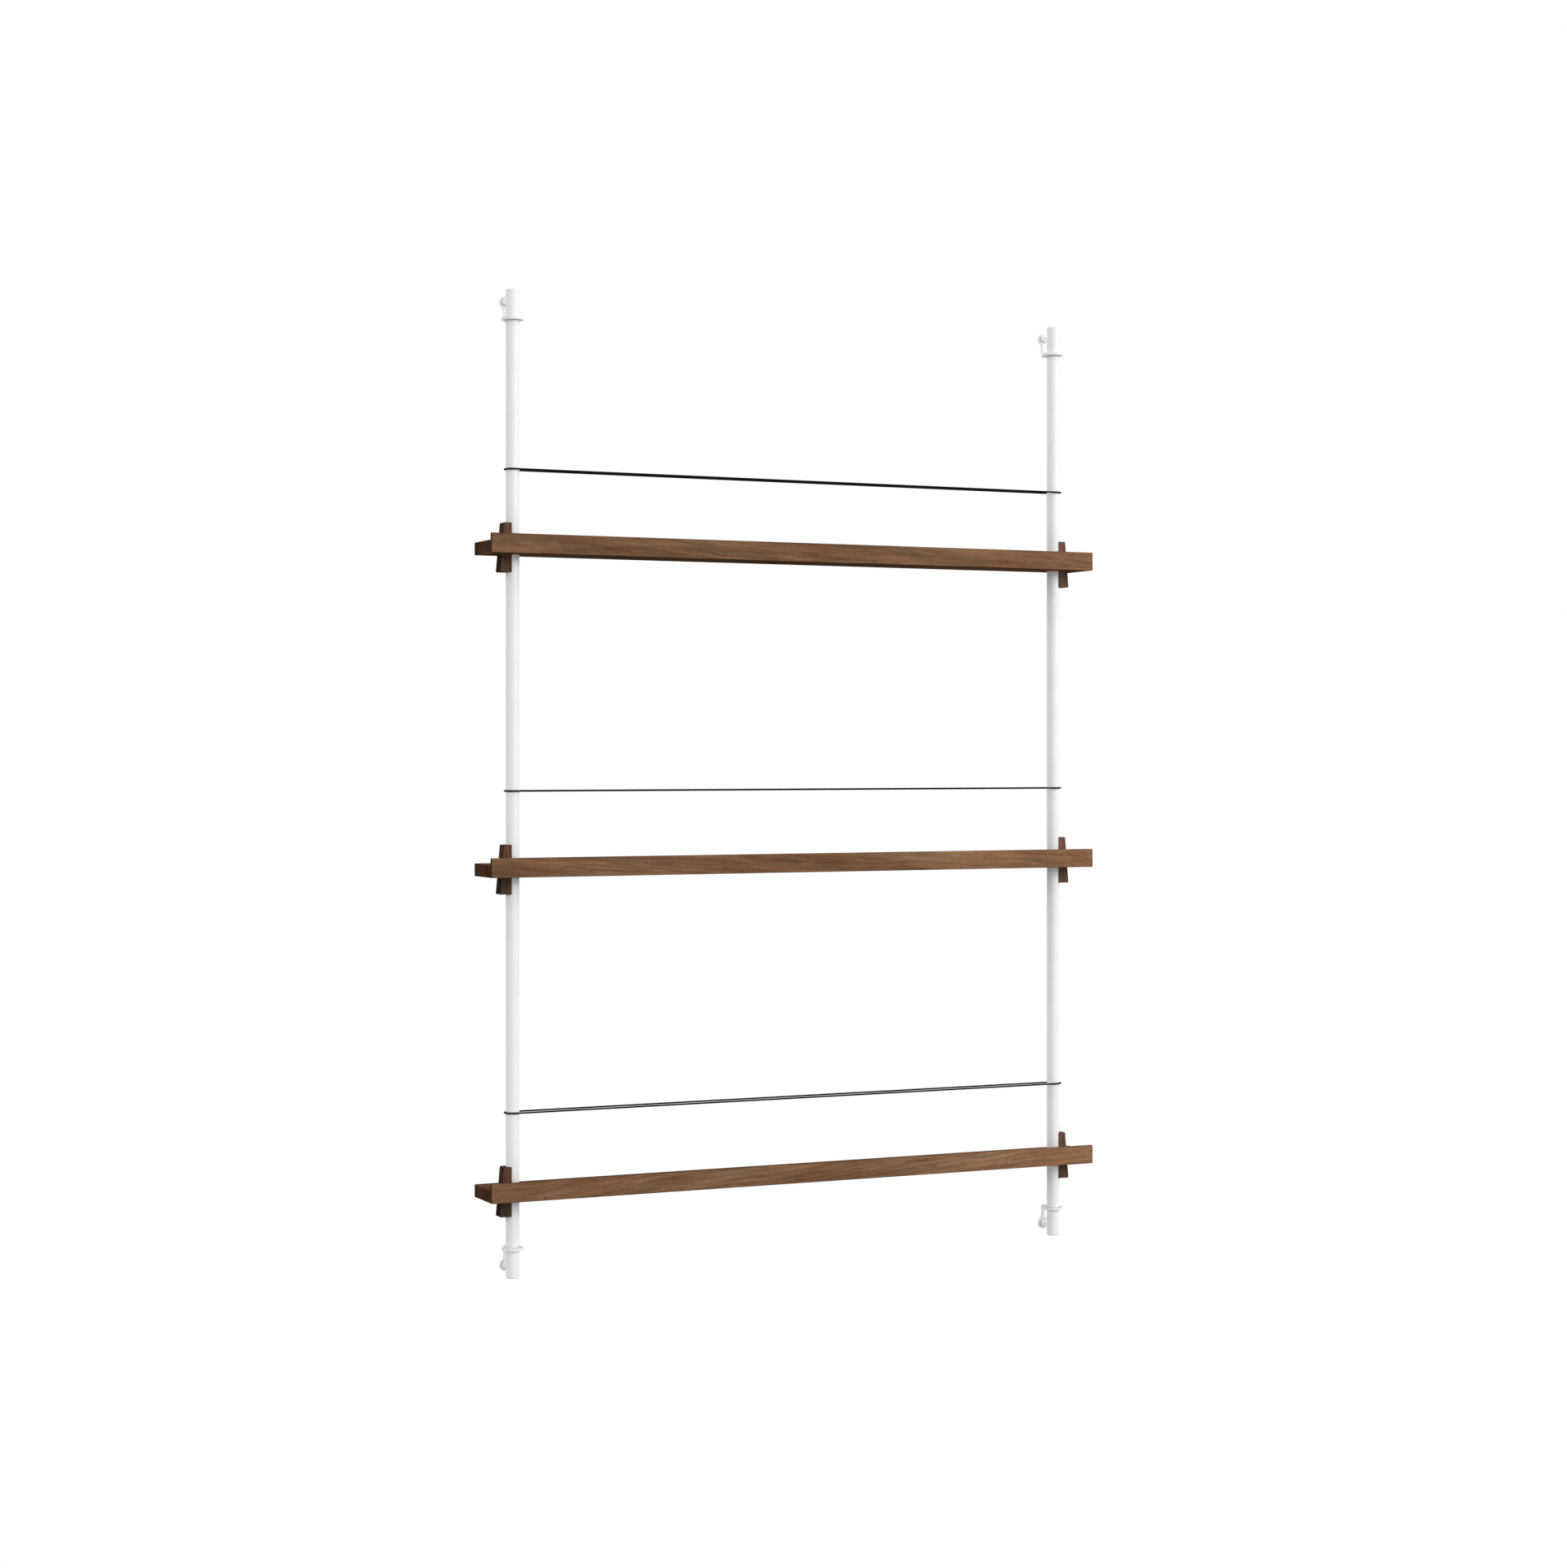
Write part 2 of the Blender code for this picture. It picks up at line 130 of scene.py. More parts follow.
# %% Helpers for node graphs
def node(tree, kind, inputs=None, **settings):
    """A new node with its settings made, and its sockets set or linked."""
    made = tree.nodes.new(kind)
    for name, value in settings.items():
        setattr(made, name, value)
    for name, value in (inputs or {}).items():
        if isinstance(value, bpy.types.NodeSocket):
            tree.links.new(value, made.inputs[name])
        else:
            made.inputs[name].default_value = value
    return made


def math_of(tree, operation, *values):
    """The result of one arithmetic step on sockets or numbers."""
    return node(tree, "ShaderNodeMath", dict(enumerate(values)), operation=operation).outputs[0]


def vectors_of(tree, operation, first, second):
    """The result of one such step on two vectors, part by part."""
    return node(tree, "ShaderNodeVectorMath", {0: first, 1: second}, operation=operation).outputs[0]


def remap(tree, value, low, high, to_low=0.0, to_high=1.0):
    """A value between two levels, stretched to lie between two others."""
    inputs = {"Value": value, "From Min": low, "From Max": high, "To Min": to_low, "To Max": to_high}
    return node(tree, "ShaderNodeMapRange", inputs).outputs[0]


# The Mix node keeps its sockets for colours behind those for numbers and vectors, under the same names
FIRST_COLOR_SOCKET = 6
SECOND_COLOR_SOCKET = 7
COLOR_RESULT_SOCKET = 2


def mixed(tree, factor, first, second, blend="MIX"):
    """Two colours mixed or multiplied."""
    inputs = {"Factor": factor, FIRST_COLOR_SOCKET: first, SECOND_COLOR_SOCKET: second}
    made = node(tree, "ShaderNodeMix", inputs, data_type="RGBA", blend_type=blend)
    return made.outputs[COLOR_RESULT_SOCKET]


print("Helpers for node graphs are ready")

# %% [markdown]
# ## Coordinates, noise and finishes
# The finishes on a real object differ, but what varies them is alike: colour and gloss drift from place
# to place, and a fine relief catches the light. Every finish could repeat those nodes. Instead a few
# helpers give the place on the piece, noise with cells of a chosen size there, and a shader that takes
# colour, roughness and relief.

# %% Helpers for finishes
# Noise could run from 0 to 1, but it seldom leaves the wider of these two ranges
NOISE_SPREAD = (0.3, 0.7)
NOISE_MIDDLE = (0.35, 0.65)


def coordinates(tree, kind="Object"):
    """The place on the piece or, for Normal, the way that its surface faces."""
    return node(tree, "ShaderNodeTexCoord").outputs[kind]


def parts_of(tree, vector):
    """The X, Y and Z of a vector."""
    return node(tree, "ShaderNodeSeparateXYZ", {0: vector}).outputs


def noise(tree, place, cells, detail=2.0, roughness=0.5, output="Fac"):
    """Smooth noise with so many cells to the metre along each axis."""
    squeezed = node(tree, "ShaderNodeMapping", {"Vector": place, "Scale": cells}).outputs[0]
    inputs = {"Vector": squeezed, "Scale": 1.0, "Detail": detail, "Roughness": roughness}
    return node(tree, "ShaderNodeTexNoise", inputs).outputs[output]


def layer(tree, place, cells, between, to=(0.0, 1.0), detail=2.0, roughness=0.5):
    """Noise that goes from one amount to another while it rises between two levels."""
    return remap(tree, noise(tree, place, cells, detail, roughness), *between, *to)


def finish_of(name, base_color, roughness, metallic=0.0, specular=0.5):
    """A new material with a Principled shader, and its node tree and shader."""
    made = bpy.data.materials.new(name)
    made.use_nodes = True
    made.diffuse_color = (*base_color, 1)
    shader = made.node_tree.nodes["Principled BSDF"]
    shader.inputs["Base Color"].default_value = (*base_color, 1)
    shader.inputs["Roughness"].default_value = roughness
    shader.inputs["Metallic"].default_value = metallic
    shader.inputs["Specular IOR Level"].default_value = specular
    return made, made.node_tree, shader


def lay_on(tree, shader, color, roughness, height, strength, depth):
    """Gives the shader a colour and roughness that vary, and a bump as deep as the relief of the finish."""
    relief = node(tree, "ShaderNodeBump", {"Height": height, "Strength": strength, "Distance": depth})
    tree.links.new(color, shader.inputs["Base Color"])
    tree.links.new(roughness, shader.inputs["Roughness"])
    tree.links.new(relief.outputs[0], shader.inputs["Normal"])


print("Helpers for finishes are ready")

# %% [markdown]
# ## Light and background
# The photograph has a plain white background and soft light, strongest from the upper right, which leaves
# the left sides of the rods pale grey. A bright wall close behind would do for the background, but it
# would hide the object from behind. The world does it instead: camera, glossy and transmission rays see
# it pure white, while the light that it sheds on the object comes mostly from the sides, and least from
# below. One large lamp gives the direction.

# %% Paint the sky
WHITE = (1, 1, 1, 1)
SKY_COLOR = (0.99, 0.995, 1.0, 1)
LIGHT_AT_HORIZON = 1.40
LIGHT_FROM_ZENITH = 0.60
LIGHT_FROM_BELOW = 0.38
HORIZON_BLUR = 0.15

scene = bpy.context.scene
scene.view_settings.view_transform = "Standard"


def emptied(owner):
    """The node tree of a new world or material, without the nodes that it starts with."""
    owner.use_nodes = True
    owner.node_tree.nodes.clear()
    return owner.node_tree


def seen_directly(tree):
    """One for a camera, glossy or transmission ray that meets the surface, and nought for shed light."""
    path = node(tree, "ShaderNodeLightPath").outputs
    glossy_or_camera = math_of(tree, "MAXIMUM", path["Is Camera Ray"], path["Is Glossy Ray"])
    return math_of(tree, "MAXIMUM", glossy_or_camera, path["Is Transmission Ray"])


def either_of(tree, switch, at_nought, at_one):
    """One of two shaders, picked by a switch."""
    inputs = {0: switch, 1: at_nought.outputs[0], 2: at_one.outputs[0]}
    return node(tree, "ShaderNodeMixShader", inputs).outputs[0]


world = bpy.data.worlds.new("studio")
sky = emptied(world)
upward = parts_of(sky, coordinates(sky, "Generated"))["Z"]
from_sides = remap(sky, upward, -HORIZON_BLUR, HORIZON_BLUR, LIGHT_FROM_BELOW, LIGHT_AT_HORIZON)
from_above = remap(sky, upward, HORIZON_BLUR, 1.0, 1.0, LIGHT_FROM_ZENITH / LIGHT_AT_HORIZON)
strength = math_of(sky, "MULTIPLY", from_sides, from_above)
shed = node(sky, "ShaderNodeBackground", {"Color": SKY_COLOR, "Strength": strength})
shown = node(sky, "ShaderNodeBackground", {"Color": WHITE, "Strength": 1.0})
node(sky, "ShaderNodeOutputWorld", {"Surface": either_of(sky, seen_directly(sky), shed, shown)})
scene.world = world
print("The sky's light is", LIGHT_AT_HORIZON, "at the horizon and", LIGHT_FROM_ZENITH, "overhead")

# %% Hang the lamp
KEY_PLACE = Vector((4.3, -5.1, 2.6))
KEY_TARGET = Vector((0.0, 0.0, 0.6))
KEY_SIZE = 2.9
KEY_POWER = 164.0
KEY_COLOR = (1.0, 0.99, 0.975)

lamp = bpy.data.lights.new("key_lamp", "AREA")
lamp.shape = "DISK"
lamp.size = KEY_SIZE
lamp.energy = KEY_POWER
lamp.color = KEY_COLOR
key = bpy.data.objects.new("key_lamp", lamp)
key.location = KEY_PLACE
key.rotation_euler = (KEY_TARGET - KEY_PLACE).to_track_quat("-Z", "Y").to_euler()
scene.collection.objects.link(key)
print("Key lamp", round((KEY_TARGET - KEY_PLACE).length, 2), "m away")

# %% [markdown]
# ## A floor and four patches of wall
# The rack hangs on a wall, so the floor lies a metre below it and takes its shadow. In the photograph the
# wall also hides the shanks of the screws. A whole wall would hide the object from behind, so only a
# patch stands behind each screw. A patch is white to the camera from the front, clear from the back, and
# sheds no light.

# %% Lay the floor
FLOOR_HEIGHT = -1.0
FLOOR_RADIUS = 2.4
FLOOR_SIDES = 96
FLOOR_COLOR = (0.80, 0.80, 0.80, 1)
FLOOR_GLOW = 0.25
# The floor looks pale, but it throws less light back up at the shelves than such a floor would
FLOOR_COLOR_FOR_LIGHT = (0.30, 0.30, 0.30, 1)


def kept(name, shape):
    """A mesh that keeps what a bmesh holds. The bmesh is freed."""
    mesh = bpy.data.meshes.new(name)
    shape.to_mesh(mesh)
    shape.free()
    return mesh


def disc_mesh(name, radius, sides, centres=((0, 0),)):
    """One or more flat discs in one mesh, facing up."""
    shape = bmesh.new()
    for x, y in centres:
        where = Matrix.Translation((x, y, 0))
        bmesh.ops.create_circle(shape, cap_ends=True, segments=sides, radius=radius, matrix=where)
    return kept(name, shape)


floor = bpy.data.objects.new("floor", disc_mesh("floor", FLOOR_RADIUS, FLOOR_SIDES))
floor.location = (0, 0, FLOOR_HEIGHT)
scene.collection.objects.link(floor)

floor_paint = bpy.data.materials.new("pale_floor")
tree = emptied(floor_paint)
dull = node(tree, "ShaderNodeBsdfDiffuse", {"Color": FLOOR_COLOR_FOR_LIGHT})
pale = node(tree, "ShaderNodeBsdfDiffuse", {"Color": FLOOR_COLOR})
glow = node(tree, "ShaderNodeEmission", {"Color": WHITE, "Strength": FLOOR_GLOW})
bright = node(tree, "ShaderNodeAddShader", {0: pale.outputs[0], 1: glow.outputs[0]})
node(tree, "ShaderNodeOutputMaterial", {"Surface": either_of(tree, seen_directly(tree), dull, bright)})
floor.data.materials.append(floor_paint)
floor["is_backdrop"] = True
print("The floor is", FLOOR_RADIUS * 2, "m across and", -FLOOR_HEIGHT, "m below the rods")

# %% Stand the patches behind the screws
PATCH_RADIUS = 0.06
PATCH_SIDES = 48
BEHIND_PLATES = 0.0004

centres = []
for end in ENDS:
    for side, direction in SIDES.items():
        low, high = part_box(f"wall_screw_{end}_{side}")
        centres.append((direction * ROD_X, (low.z + high.z) / 2))
discs = disc_mesh("wall_patches", PATCH_RADIUS, PATCH_SIDES, centres)
patches = bpy.data.objects.new("wall_patches", discs)
patches.rotation_euler = (QUARTER_TURN, 0, 0)
patches.location = (0, BEHIND_PLATES, 0)
for kind in ("shadow", "diffuse", "glossy", "transmission"):
    setattr(patches, "visible_" + kind, False)
scene.collection.objects.link(patches)

wall_paint = bpy.data.materials.new("white_wall")
tree = emptied(wall_paint)
from_behind = node(tree, "ShaderNodeNewGeometry").outputs["Backfacing"]
white = node(tree, "ShaderNodeEmission", {"Color": WHITE, "Strength": 1.0})
clear = node(tree, "ShaderNodeBsdfTransparent")
node(tree, "ShaderNodeOutputMaterial", {"Surface": either_of(tree, from_behind, white, clear)})
patches.data.materials.append(wall_paint)
patches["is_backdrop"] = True
print("Wall patches", PATCH_RADIUS * 2, "m across, behind", len(centres), "screws")

# %% [markdown]
# ## The brown wood
# The shelves are solid wood with the grain lengthwise. A flat picture of grain could be wrapped round
# each board, but then the front, the top and the sawn ends would not agree. A solid pattern does better:
# it fills space with the tree's growth rings, and each board is a cut out of that space. Rings are
# circles round the tree's heart, so the ends show arcs, and as the saw never runs quite true to the
# heart, the long faces show slanted streaks.

# %% Find the place in the tree
WAVER_CELLS = (7, 24, 24)
RING_WAVER = 0.014
AVERAGE_NOISE = (0.5, 0.5, 0.5)


def rotated(tree, vector, turn):
    """Coordinates turned about the origin by angles in degrees."""
    turn = tuple(math.radians(angle) for angle in turn)
    return node(tree, "ShaderNodeMapping", {"Vector": vector, "Rotation": turn}).outputs[0]


def grain_places(tree, heart, cut, upright):
    """Coordinates in the tree the piece was sawn from: X along its heart, straight and then wavering."""
    from_heart = vectors_of(tree, "SUBTRACT", coordinates(tree), heart)
    if upright:
        from_heart = rotated(tree, from_heart, (0, 90, 0))
    straight = rotated(tree, from_heart, cut)
    waver = vectors_of(tree, "SUBTRACT", noise(tree, straight, WAVER_CELLS, output="Color"), AVERAGE_NOISE)
    push = vectors_of(tree, "MULTIPLY", waver, (0, RING_WAVER, RING_WAVER))
    return straight, vectors_of(tree, "ADD", straight, push)


print("The rings waver by up to", RING_WAVER / 2, "m")

# %% [markdown]
# ## Figure, fibres and pores
# Between the rings, this timber has broad dark bands, finer dark and pale figure, thin fibres, and short
# dark pores that look like pencil strokes. One noise with many octaves could stand for all of them, but
# they differ in length and in how sharp they are. So each has its own noise, stretched along the grain to
# its own proportions. The pores are the noise that is kept only where it is strongest.

# %% Colour the grain
# Cells to the metre, along the grain and both ways across it
TONE_CELLS = (5, 26, 26)
BAND_CELLS = (3.5, 55, 55)
HUE_CELLS = (11, 110, 110)
DARK_FIGURE_CELLS = (9, 135, 135)
PALE_FIGURE_CELLS = (24, 260, 260)
FIBRE_CELLS = (14, 700, 700)
PORE_CELLS = (85, 2600, 2600)

REDDER = (1.05, 0.98, 0.96, 1)
GREENER = (0.95, 1.02, 1.04, 1)
RING_WIDTH = 0.0052
RING_SHARPNESS = 1.8
RING_SHADES = (1.08, 0.84)
FIBRE_SHADES = (0.90, 1.10)
PORE_SHADE = 0.55
WAVE_TURNS_PER_UNIT = 20 / math.tau


def scale_by(tree, color, *factors):
    """A colour multiplied by grey factors."""
    total = factors[0]
    for factor in factors[1:]:
        total = math_of(tree, "MULTIPLY", total, factor)
    grey = node(tree, "ShaderNodeCombineColor", {0: total, 1: total, 2: total}).outputs[0]
    return mixed(tree, 1.0, color, grey, blend="MULTIPLY")


def growth_rings(tree, wavy):
    """A year's growth, which goes from nought to one across each ring and then starts again."""
    inputs = {"Vector": wavy, "Scale": 1 / (WAVE_TURNS_PER_UNIT * RING_WIDTH)}
    settings = {"wave_type": "RINGS", "rings_direction": "X", "wave_profile": "SAW"}
    rings = node(tree, "ShaderNodeTexWave", inputs, **settings)
    return math_of(tree, "POWER", rings.outputs["Fac"], RING_SHARPNESS)


def grain_color(tree, colors, straight, wavy, fibres, pores):
    """The pale, red and dark colours of the timber, laid over each other from broad forms to fine."""
    pale, red, dark = [(*color, 1) for color in colors]
    redness = layer(tree, straight, TONE_CELLS, between=(0.40, 0.62))
    bands = layer(tree, wavy, BAND_CELLS, between=(0.48, 0.66), to=(0.0, 0.42))
    dark_figure = layer(
        tree, wavy, DARK_FIGURE_CELLS, between=(0.52, 0.72), to=(0.0, 0.55), detail=3.0, roughness=0.55
    )
    hue = layer(tree, wavy, HUE_CELLS, between=NOISE_MIDDLE)
    timber = mixed(tree, redness, pale, red)
    timber = mixed(tree, bands, timber, dark)
    timber = mixed(tree, dark_figure, timber, dark)
    timber = mixed(tree, 1.0, timber, mixed(tree, hue, REDDER, GREENER), blend="MULTIPLY")
    return scale_by(
        tree,
        timber,
        remap(tree, growth_rings(tree, wavy), 0.0, 1.0, *RING_SHADES),
        layer(tree, wavy, PALE_FIGURE_CELLS, between=(0.35, 0.70), to=(0.95, 1.25)),
        remap(tree, fibres, *NOISE_SPREAD, *FIBRE_SHADES),
        remap(tree, pores, 0.0, 1.0, 1.0, PORE_SHADE),
    )


print("One growth ring is", RING_WIDTH, "m wide")

# %% [markdown]
# ## Sides, tops and ends
# Oiled wood isn't equally dark all round: sawn ends drink more oil. The colour also carries painted shade:
# the sawn ends, the tops, the undersides and the wedges' sides are painted darker, as if in shade, and
# every piece is painted lighter towards its right end, as if lit from the right. The wedges carry a painted
# shadow below the shelves. A material for each side would change abruptly at an edge. So one material reads
# which way the surface faces and where it lies, and multiplies its colour by that.

# %% Shade the sides
# How far a surface faces sideways, up or down when the shade of that side starts and when it is full
FACING_SIDEWAYS = (0.88, 0.99)
FACING_UP = (0.5, 0.9)
FACING_DOWN = (-0.3, -0.8)
# Painted shade: ends, sides, tops and undersides darker than the front, as if in shade; ends also for end
# grain
END_GRAIN_AND_PAINTED_SHADE = 0.33
PAINTED_SIDE_SHADE = 0.45
PAINTED_TOP_SHADE = 0.62
PAINTED_UNDERSIDE_SHADE = 0.62
# Painted light: every piece grows lighter towards its right end, as if lit from the right
PAINTED_LIGHT_STRETCH = (0.05, 0.25)
PAINTED_LIGHT_TO_RIGHT = 1.22
WEDGE_PAINTED_LIGHT_TO_RIGHT = 1.50
# Painted shadow: the wedges are darker and less red below the shelves, where the shelf shades them
PAINTED_SHADOW_TINT = (0.72, 0.84, 0.88, 1)
PAINTED_SHADOW_BLEND = 0.004
SHELF_PITCH = UNDERSIDES["top"] - UNDERSIDES["middle"]


def shades_of_sides(tree, upright, lift):
    """Factors for the colour: painted shade on sides, ends, top and underside, painted light to the right.
    """
    facing = parts_of(tree, coordinates(tree, "Normal"))
    along = parts_of(tree, coordinates(tree))["X"]
    sideways = math_of(tree, "ABSOLUTE", facing["X"])
    sides = remap(tree, sideways, *FACING_SIDEWAYS, lift, PAINTED_SIDE_SHADE if upright else END_GRAIN_AND_PAINTED_SHADE)
    top = remap(tree, facing["Z"], *FACING_UP, 1.0, END_GRAIN_AND_PAINTED_SHADE if upright else PAINTED_TOP_SHADE)
    below = remap(tree, facing["Z"], *FACING_DOWN, 1.0, END_GRAIN_AND_PAINTED_SHADE if upright else PAINTED_UNDERSIDE_SHADE)
    lit_to_right = remap(tree, along, *PAINTED_LIGHT_STRETCH, 1.0, WEDGE_PAINTED_LIGHT_TO_RIGHT if upright else PAINTED_LIGHT_TO_RIGHT)
    return sides, top, below, lit_to_right


def shadowed_below_shelf(tree, timber):
    """A wedge's timber, with the painted shadow that it has below its shelf."""
    # The shelves lie one pitch apart, so wrapping the height gives it from the nearest shelf's underside
    from_lowest = math_of(tree, "SUBTRACT", parts_of(tree, coordinates(tree))["Z"], UNDERSIDES["bottom"])
    from_nearest = math_of(tree, "WRAP", from_lowest, SHELF_PITCH / 2, -SHELF_PITCH / 2)
    in_shadow = remap(tree, from_nearest, -PAINTED_SHADOW_BLEND, 0.0, 1.0, 0.0)
    painted_shadow = mixed(tree, in_shadow, WHITE, PAINTED_SHADOW_TINT)
    return mixed(tree, 1.0, timber, painted_shadow, blend="MULTIPLY")


print("The shelves lie", round(SHELF_PITCH, 4), "m apart")

# %% [markdown]
# ## Gloss and relief of the wood
# Oiled wood hardly shines. A varnish would need a mirror-like reflection, but here it would only grey the
# ends at grazing angles, so it is left out. The fibres and pores that gave the colour also vary the
# roughness and raise the relief, so that colour, gloss and touch agree.

# %% Make the wood
WOOD_ROUGHNESS = 0.62
FIBRE_ROUGHNESS = 0.05
PORE_ROUGHNESS = 0.2
FIBRE_RELIEF = 0.35
WOOD_RELIEF = 0.00012


def wood(name, colors, heart, cut, upright=False, lift=1.0):
    """Timber in a pale, a red and a dark colour, with its heart along X or, if upright, along Z."""
    made, tree, shader = finish_of(name, colors[0], WOOD_ROUGHNESS, specular=0.0)
    straight, wavy = grain_places(tree, heart, cut, upright)
    fibres = noise(tree, wavy, FIBRE_CELLS, detail=3.0, roughness=0.6)
    pores = layer(tree, straight, PORE_CELLS, between=(0.60, 0.70), detail=1.0)
    timber = grain_color(tree, colors, straight, wavy, fibres, pores)
    # Painted shade on the sides, ends, top and underside, and painted light towards the right end
    timber = scale_by(tree, timber, *shades_of_sides(tree, upright, lift))
    # Painted shadow below the shelf
    if upright:
        timber = shadowed_below_shelf(tree, timber)

    roughness_range = (WOOD_ROUGHNESS - FIBRE_ROUGHNESS, WOOD_ROUGHNESS + FIBRE_ROUGHNESS)
    in_pores = math_of(tree, "MULTIPLY", pores, PORE_ROUGHNESS)
    roughness = math_of(tree, "ADD", remap(tree, fibres, *NOISE_SPREAD, *roughness_range), in_pores)
    height = math_of(tree, "SUBTRACT", math_of(tree, "MULTIPLY", fibres, FIBRE_RELIEF), pores)
    lay_on(tree, shader, timber, roughness, height, strength=0.35, depth=WOOD_RELIEF)
    return made


print("The wood's roughness is", WOOD_ROUGHNESS, "and its relief", WOOD_RELIEF, "m")

# %% [markdown]
# ## Four cuts of the same tree
# If every board were cut at the same place, all three would show the same streaks. So each shelf has its
# own place and slant in the tree, and its own tone. The wedges share one cut, because they stand at
# different places in it anyway. The second material of each pair is for rounded edges, where hands have
# rubbed the oil thin and the wood paler.

# %% Cut the timber
SHELF_COLORS = ((0.222, 0.124, 0.067), (0.192, 0.097, 0.052), (0.090, 0.045, 0.025))
WEDGE_COLORS = ((0.132, 0.071, 0.044), (0.111, 0.054, 0.037), (0.054, 0.027, 0.018))
EDGE_LIFT = 1.04

# For each shelf: where the tree's heart lies, how the saw slants to it in degrees, and the timber's tone
CUTS = {
    "top": ((-0.036, 0.0106, UNDERSIDES["top"] - 0.0332), (0, -4, 2), 0.89),
    "middle": ((0.327, 0.0106, UNDERSIDES["middle"] + 0.0576), (0, -5, -2), 0.95),
    "bottom": ((-0.310, -0.0022, UNDERSIDES["bottom"] - 0.0574), (0, 3, 4), 1.0),
}
WEDGE_CUT = ((0.05, 0.060, 0.0), (0, 3, 4))

SHELF_WOOD = {}
SHELF_EDGE_WOOD = {}
for level, (heart, cut, tone) in CUTS.items():
    colors = [[part * tone for part in color] for color in SHELF_COLORS]
    SHELF_WOOD[level] = wood("dark_wood_" + level, colors, heart, cut)
    SHELF_EDGE_WOOD[level] = wood("dark_wood_edge_" + level, colors, heart, cut, lift=EDGE_LIFT)
WEDGE_WOOD = wood("wedge_wood", WEDGE_COLORS, *WEDGE_CUT, upright=True)
WEDGE_EDGE_WOOD = wood("wedge_wood_edge", WEDGE_COLORS, *WEDGE_CUT, upright=True, lift=EDGE_LIFT)
print("Woods:", [made.name for made in [*SHELF_WOOD.values(), WEDGE_WOOD]])

# %% [markdown]
# ## The white powder coat
# Powder paint is sprayed on dry and baked, and it flows into a skin with a faint orange peel. Modelling
# that skin would take millions of faces, so a fine bump does it. The gloss varies a little as well,
# because a coat is never equally smooth all over. The brackets' rings carry painted shade in the corner
# round the rod, which a node finds by how closed in the place is. The rods get none, because the shelves
# slide along them, and the painted shade would stay behind where they rested.

# %% Make the powder coat
COAT_COLOR = (0.90, 0.90, 0.895)
COAT_ROUGHNESS = 0.38
ENAMEL_COLOR = (0.88, 0.88, 0.87)
ENAMEL_ROUGHNESS = 0.28
PEEL_CELL = 0.0011
PEEL_RELIEF = 0.00006
DRIFT_CELLS = (45, 45, 45)
DRIFT_OF_ROUGHNESS = 0.06
DULLER = 0.97
CORNER_SHADE_REACH = 0.006
PAINTED_CORNER_SHADE = 0.42
CORNER_SHADED_TO_OPEN = (0.50, 0.95)


def powder_coat(name, color, roughness, corner_shaded=False):
    """Baked powder in a pale colour, with its orange peel and, if asked, with painted shade in its corners.
    """
    made, tree, shader = finish_of(name, color, roughness)
    place = coordinates(tree)
    peel = noise(tree, place, (1 / PEEL_CELL,) * 3, detail=1.5)
    drift = noise(tree, place, DRIFT_CELLS)
    roughness_range = (roughness - DRIFT_OF_ROUGHNESS, roughness + DRIFT_OF_ROUGHNESS)
    duller = tuple(part * DULLER for part in color)
    coat = mixed(tree, remap(tree, drift, *NOISE_MIDDLE), (*color, 1), (*duller, 1))
    if corner_shaded:
        # Painted shade: darker where the place is closed in, in the corner round the rod
        openness = node(tree, "ShaderNodeAmbientOcclusion", {"Distance": CORNER_SHADE_REACH}).outputs["AO"]
        coat = scale_by(tree, coat, remap(tree, openness, *CORNER_SHADED_TO_OPEN, PAINTED_CORNER_SHADE, 1.0))
    gloss = remap(tree, drift, *NOISE_SPREAD, *roughness_range)
    lay_on(tree, shader, coat, gloss, peel, strength=0.25, depth=PEEL_RELIEF)
    return made


WHITE_COAT = powder_coat("white_powder_coat", COAT_COLOR, COAT_ROUGHNESS)
BRACKET_COAT = powder_coat("white_bracket_coat", COAT_COLOR, COAT_ROUGHNESS, corner_shaded=True)
WHITE_ENAMEL = powder_coat("white_screw_enamel", ENAMEL_COLOR, ENAMEL_ROUGHNESS)
print("Coats:", WHITE_COAT.name, BRACKET_COAT.name, "and", WHITE_ENAMEL.name)

# %% [markdown]
# ## The zinc of the screws
# Only the heads of the wall screws are enamelled. The threads are plain zinc-plated steel: a metal, dull
# and slightly blotched, with fine lines round it from the die that rolled the thread. The metal is painted
# darker near the screw's axis: painted shade in the root of the thread.

# %% Make the zinc
ROOT_RADIUS = 0.0015
CREST_RADIUS = 0.0020
PAINTED_ROOT_SHADE = 0.40
ZINC_COLOR = (0.34, 0.35, 0.36)
ZINC_ROUGHNESS = 0.38
ZINC_ROUGHNESS_RANGE = (0.28, 0.52)
PALE_ZINC = (0.46, 0.46, 0.45, 1)
DARK_ZINC = (0.34, 0.35, 0.37, 1)
BLOTCH_CELLS = (650, 650, 650)
DIE_LINE_CELLS = (900, 900, 9000)
DIE_LINE_RELIEF = 0.00002
WITHOUT_HEIGHT = (1, 1, 0)


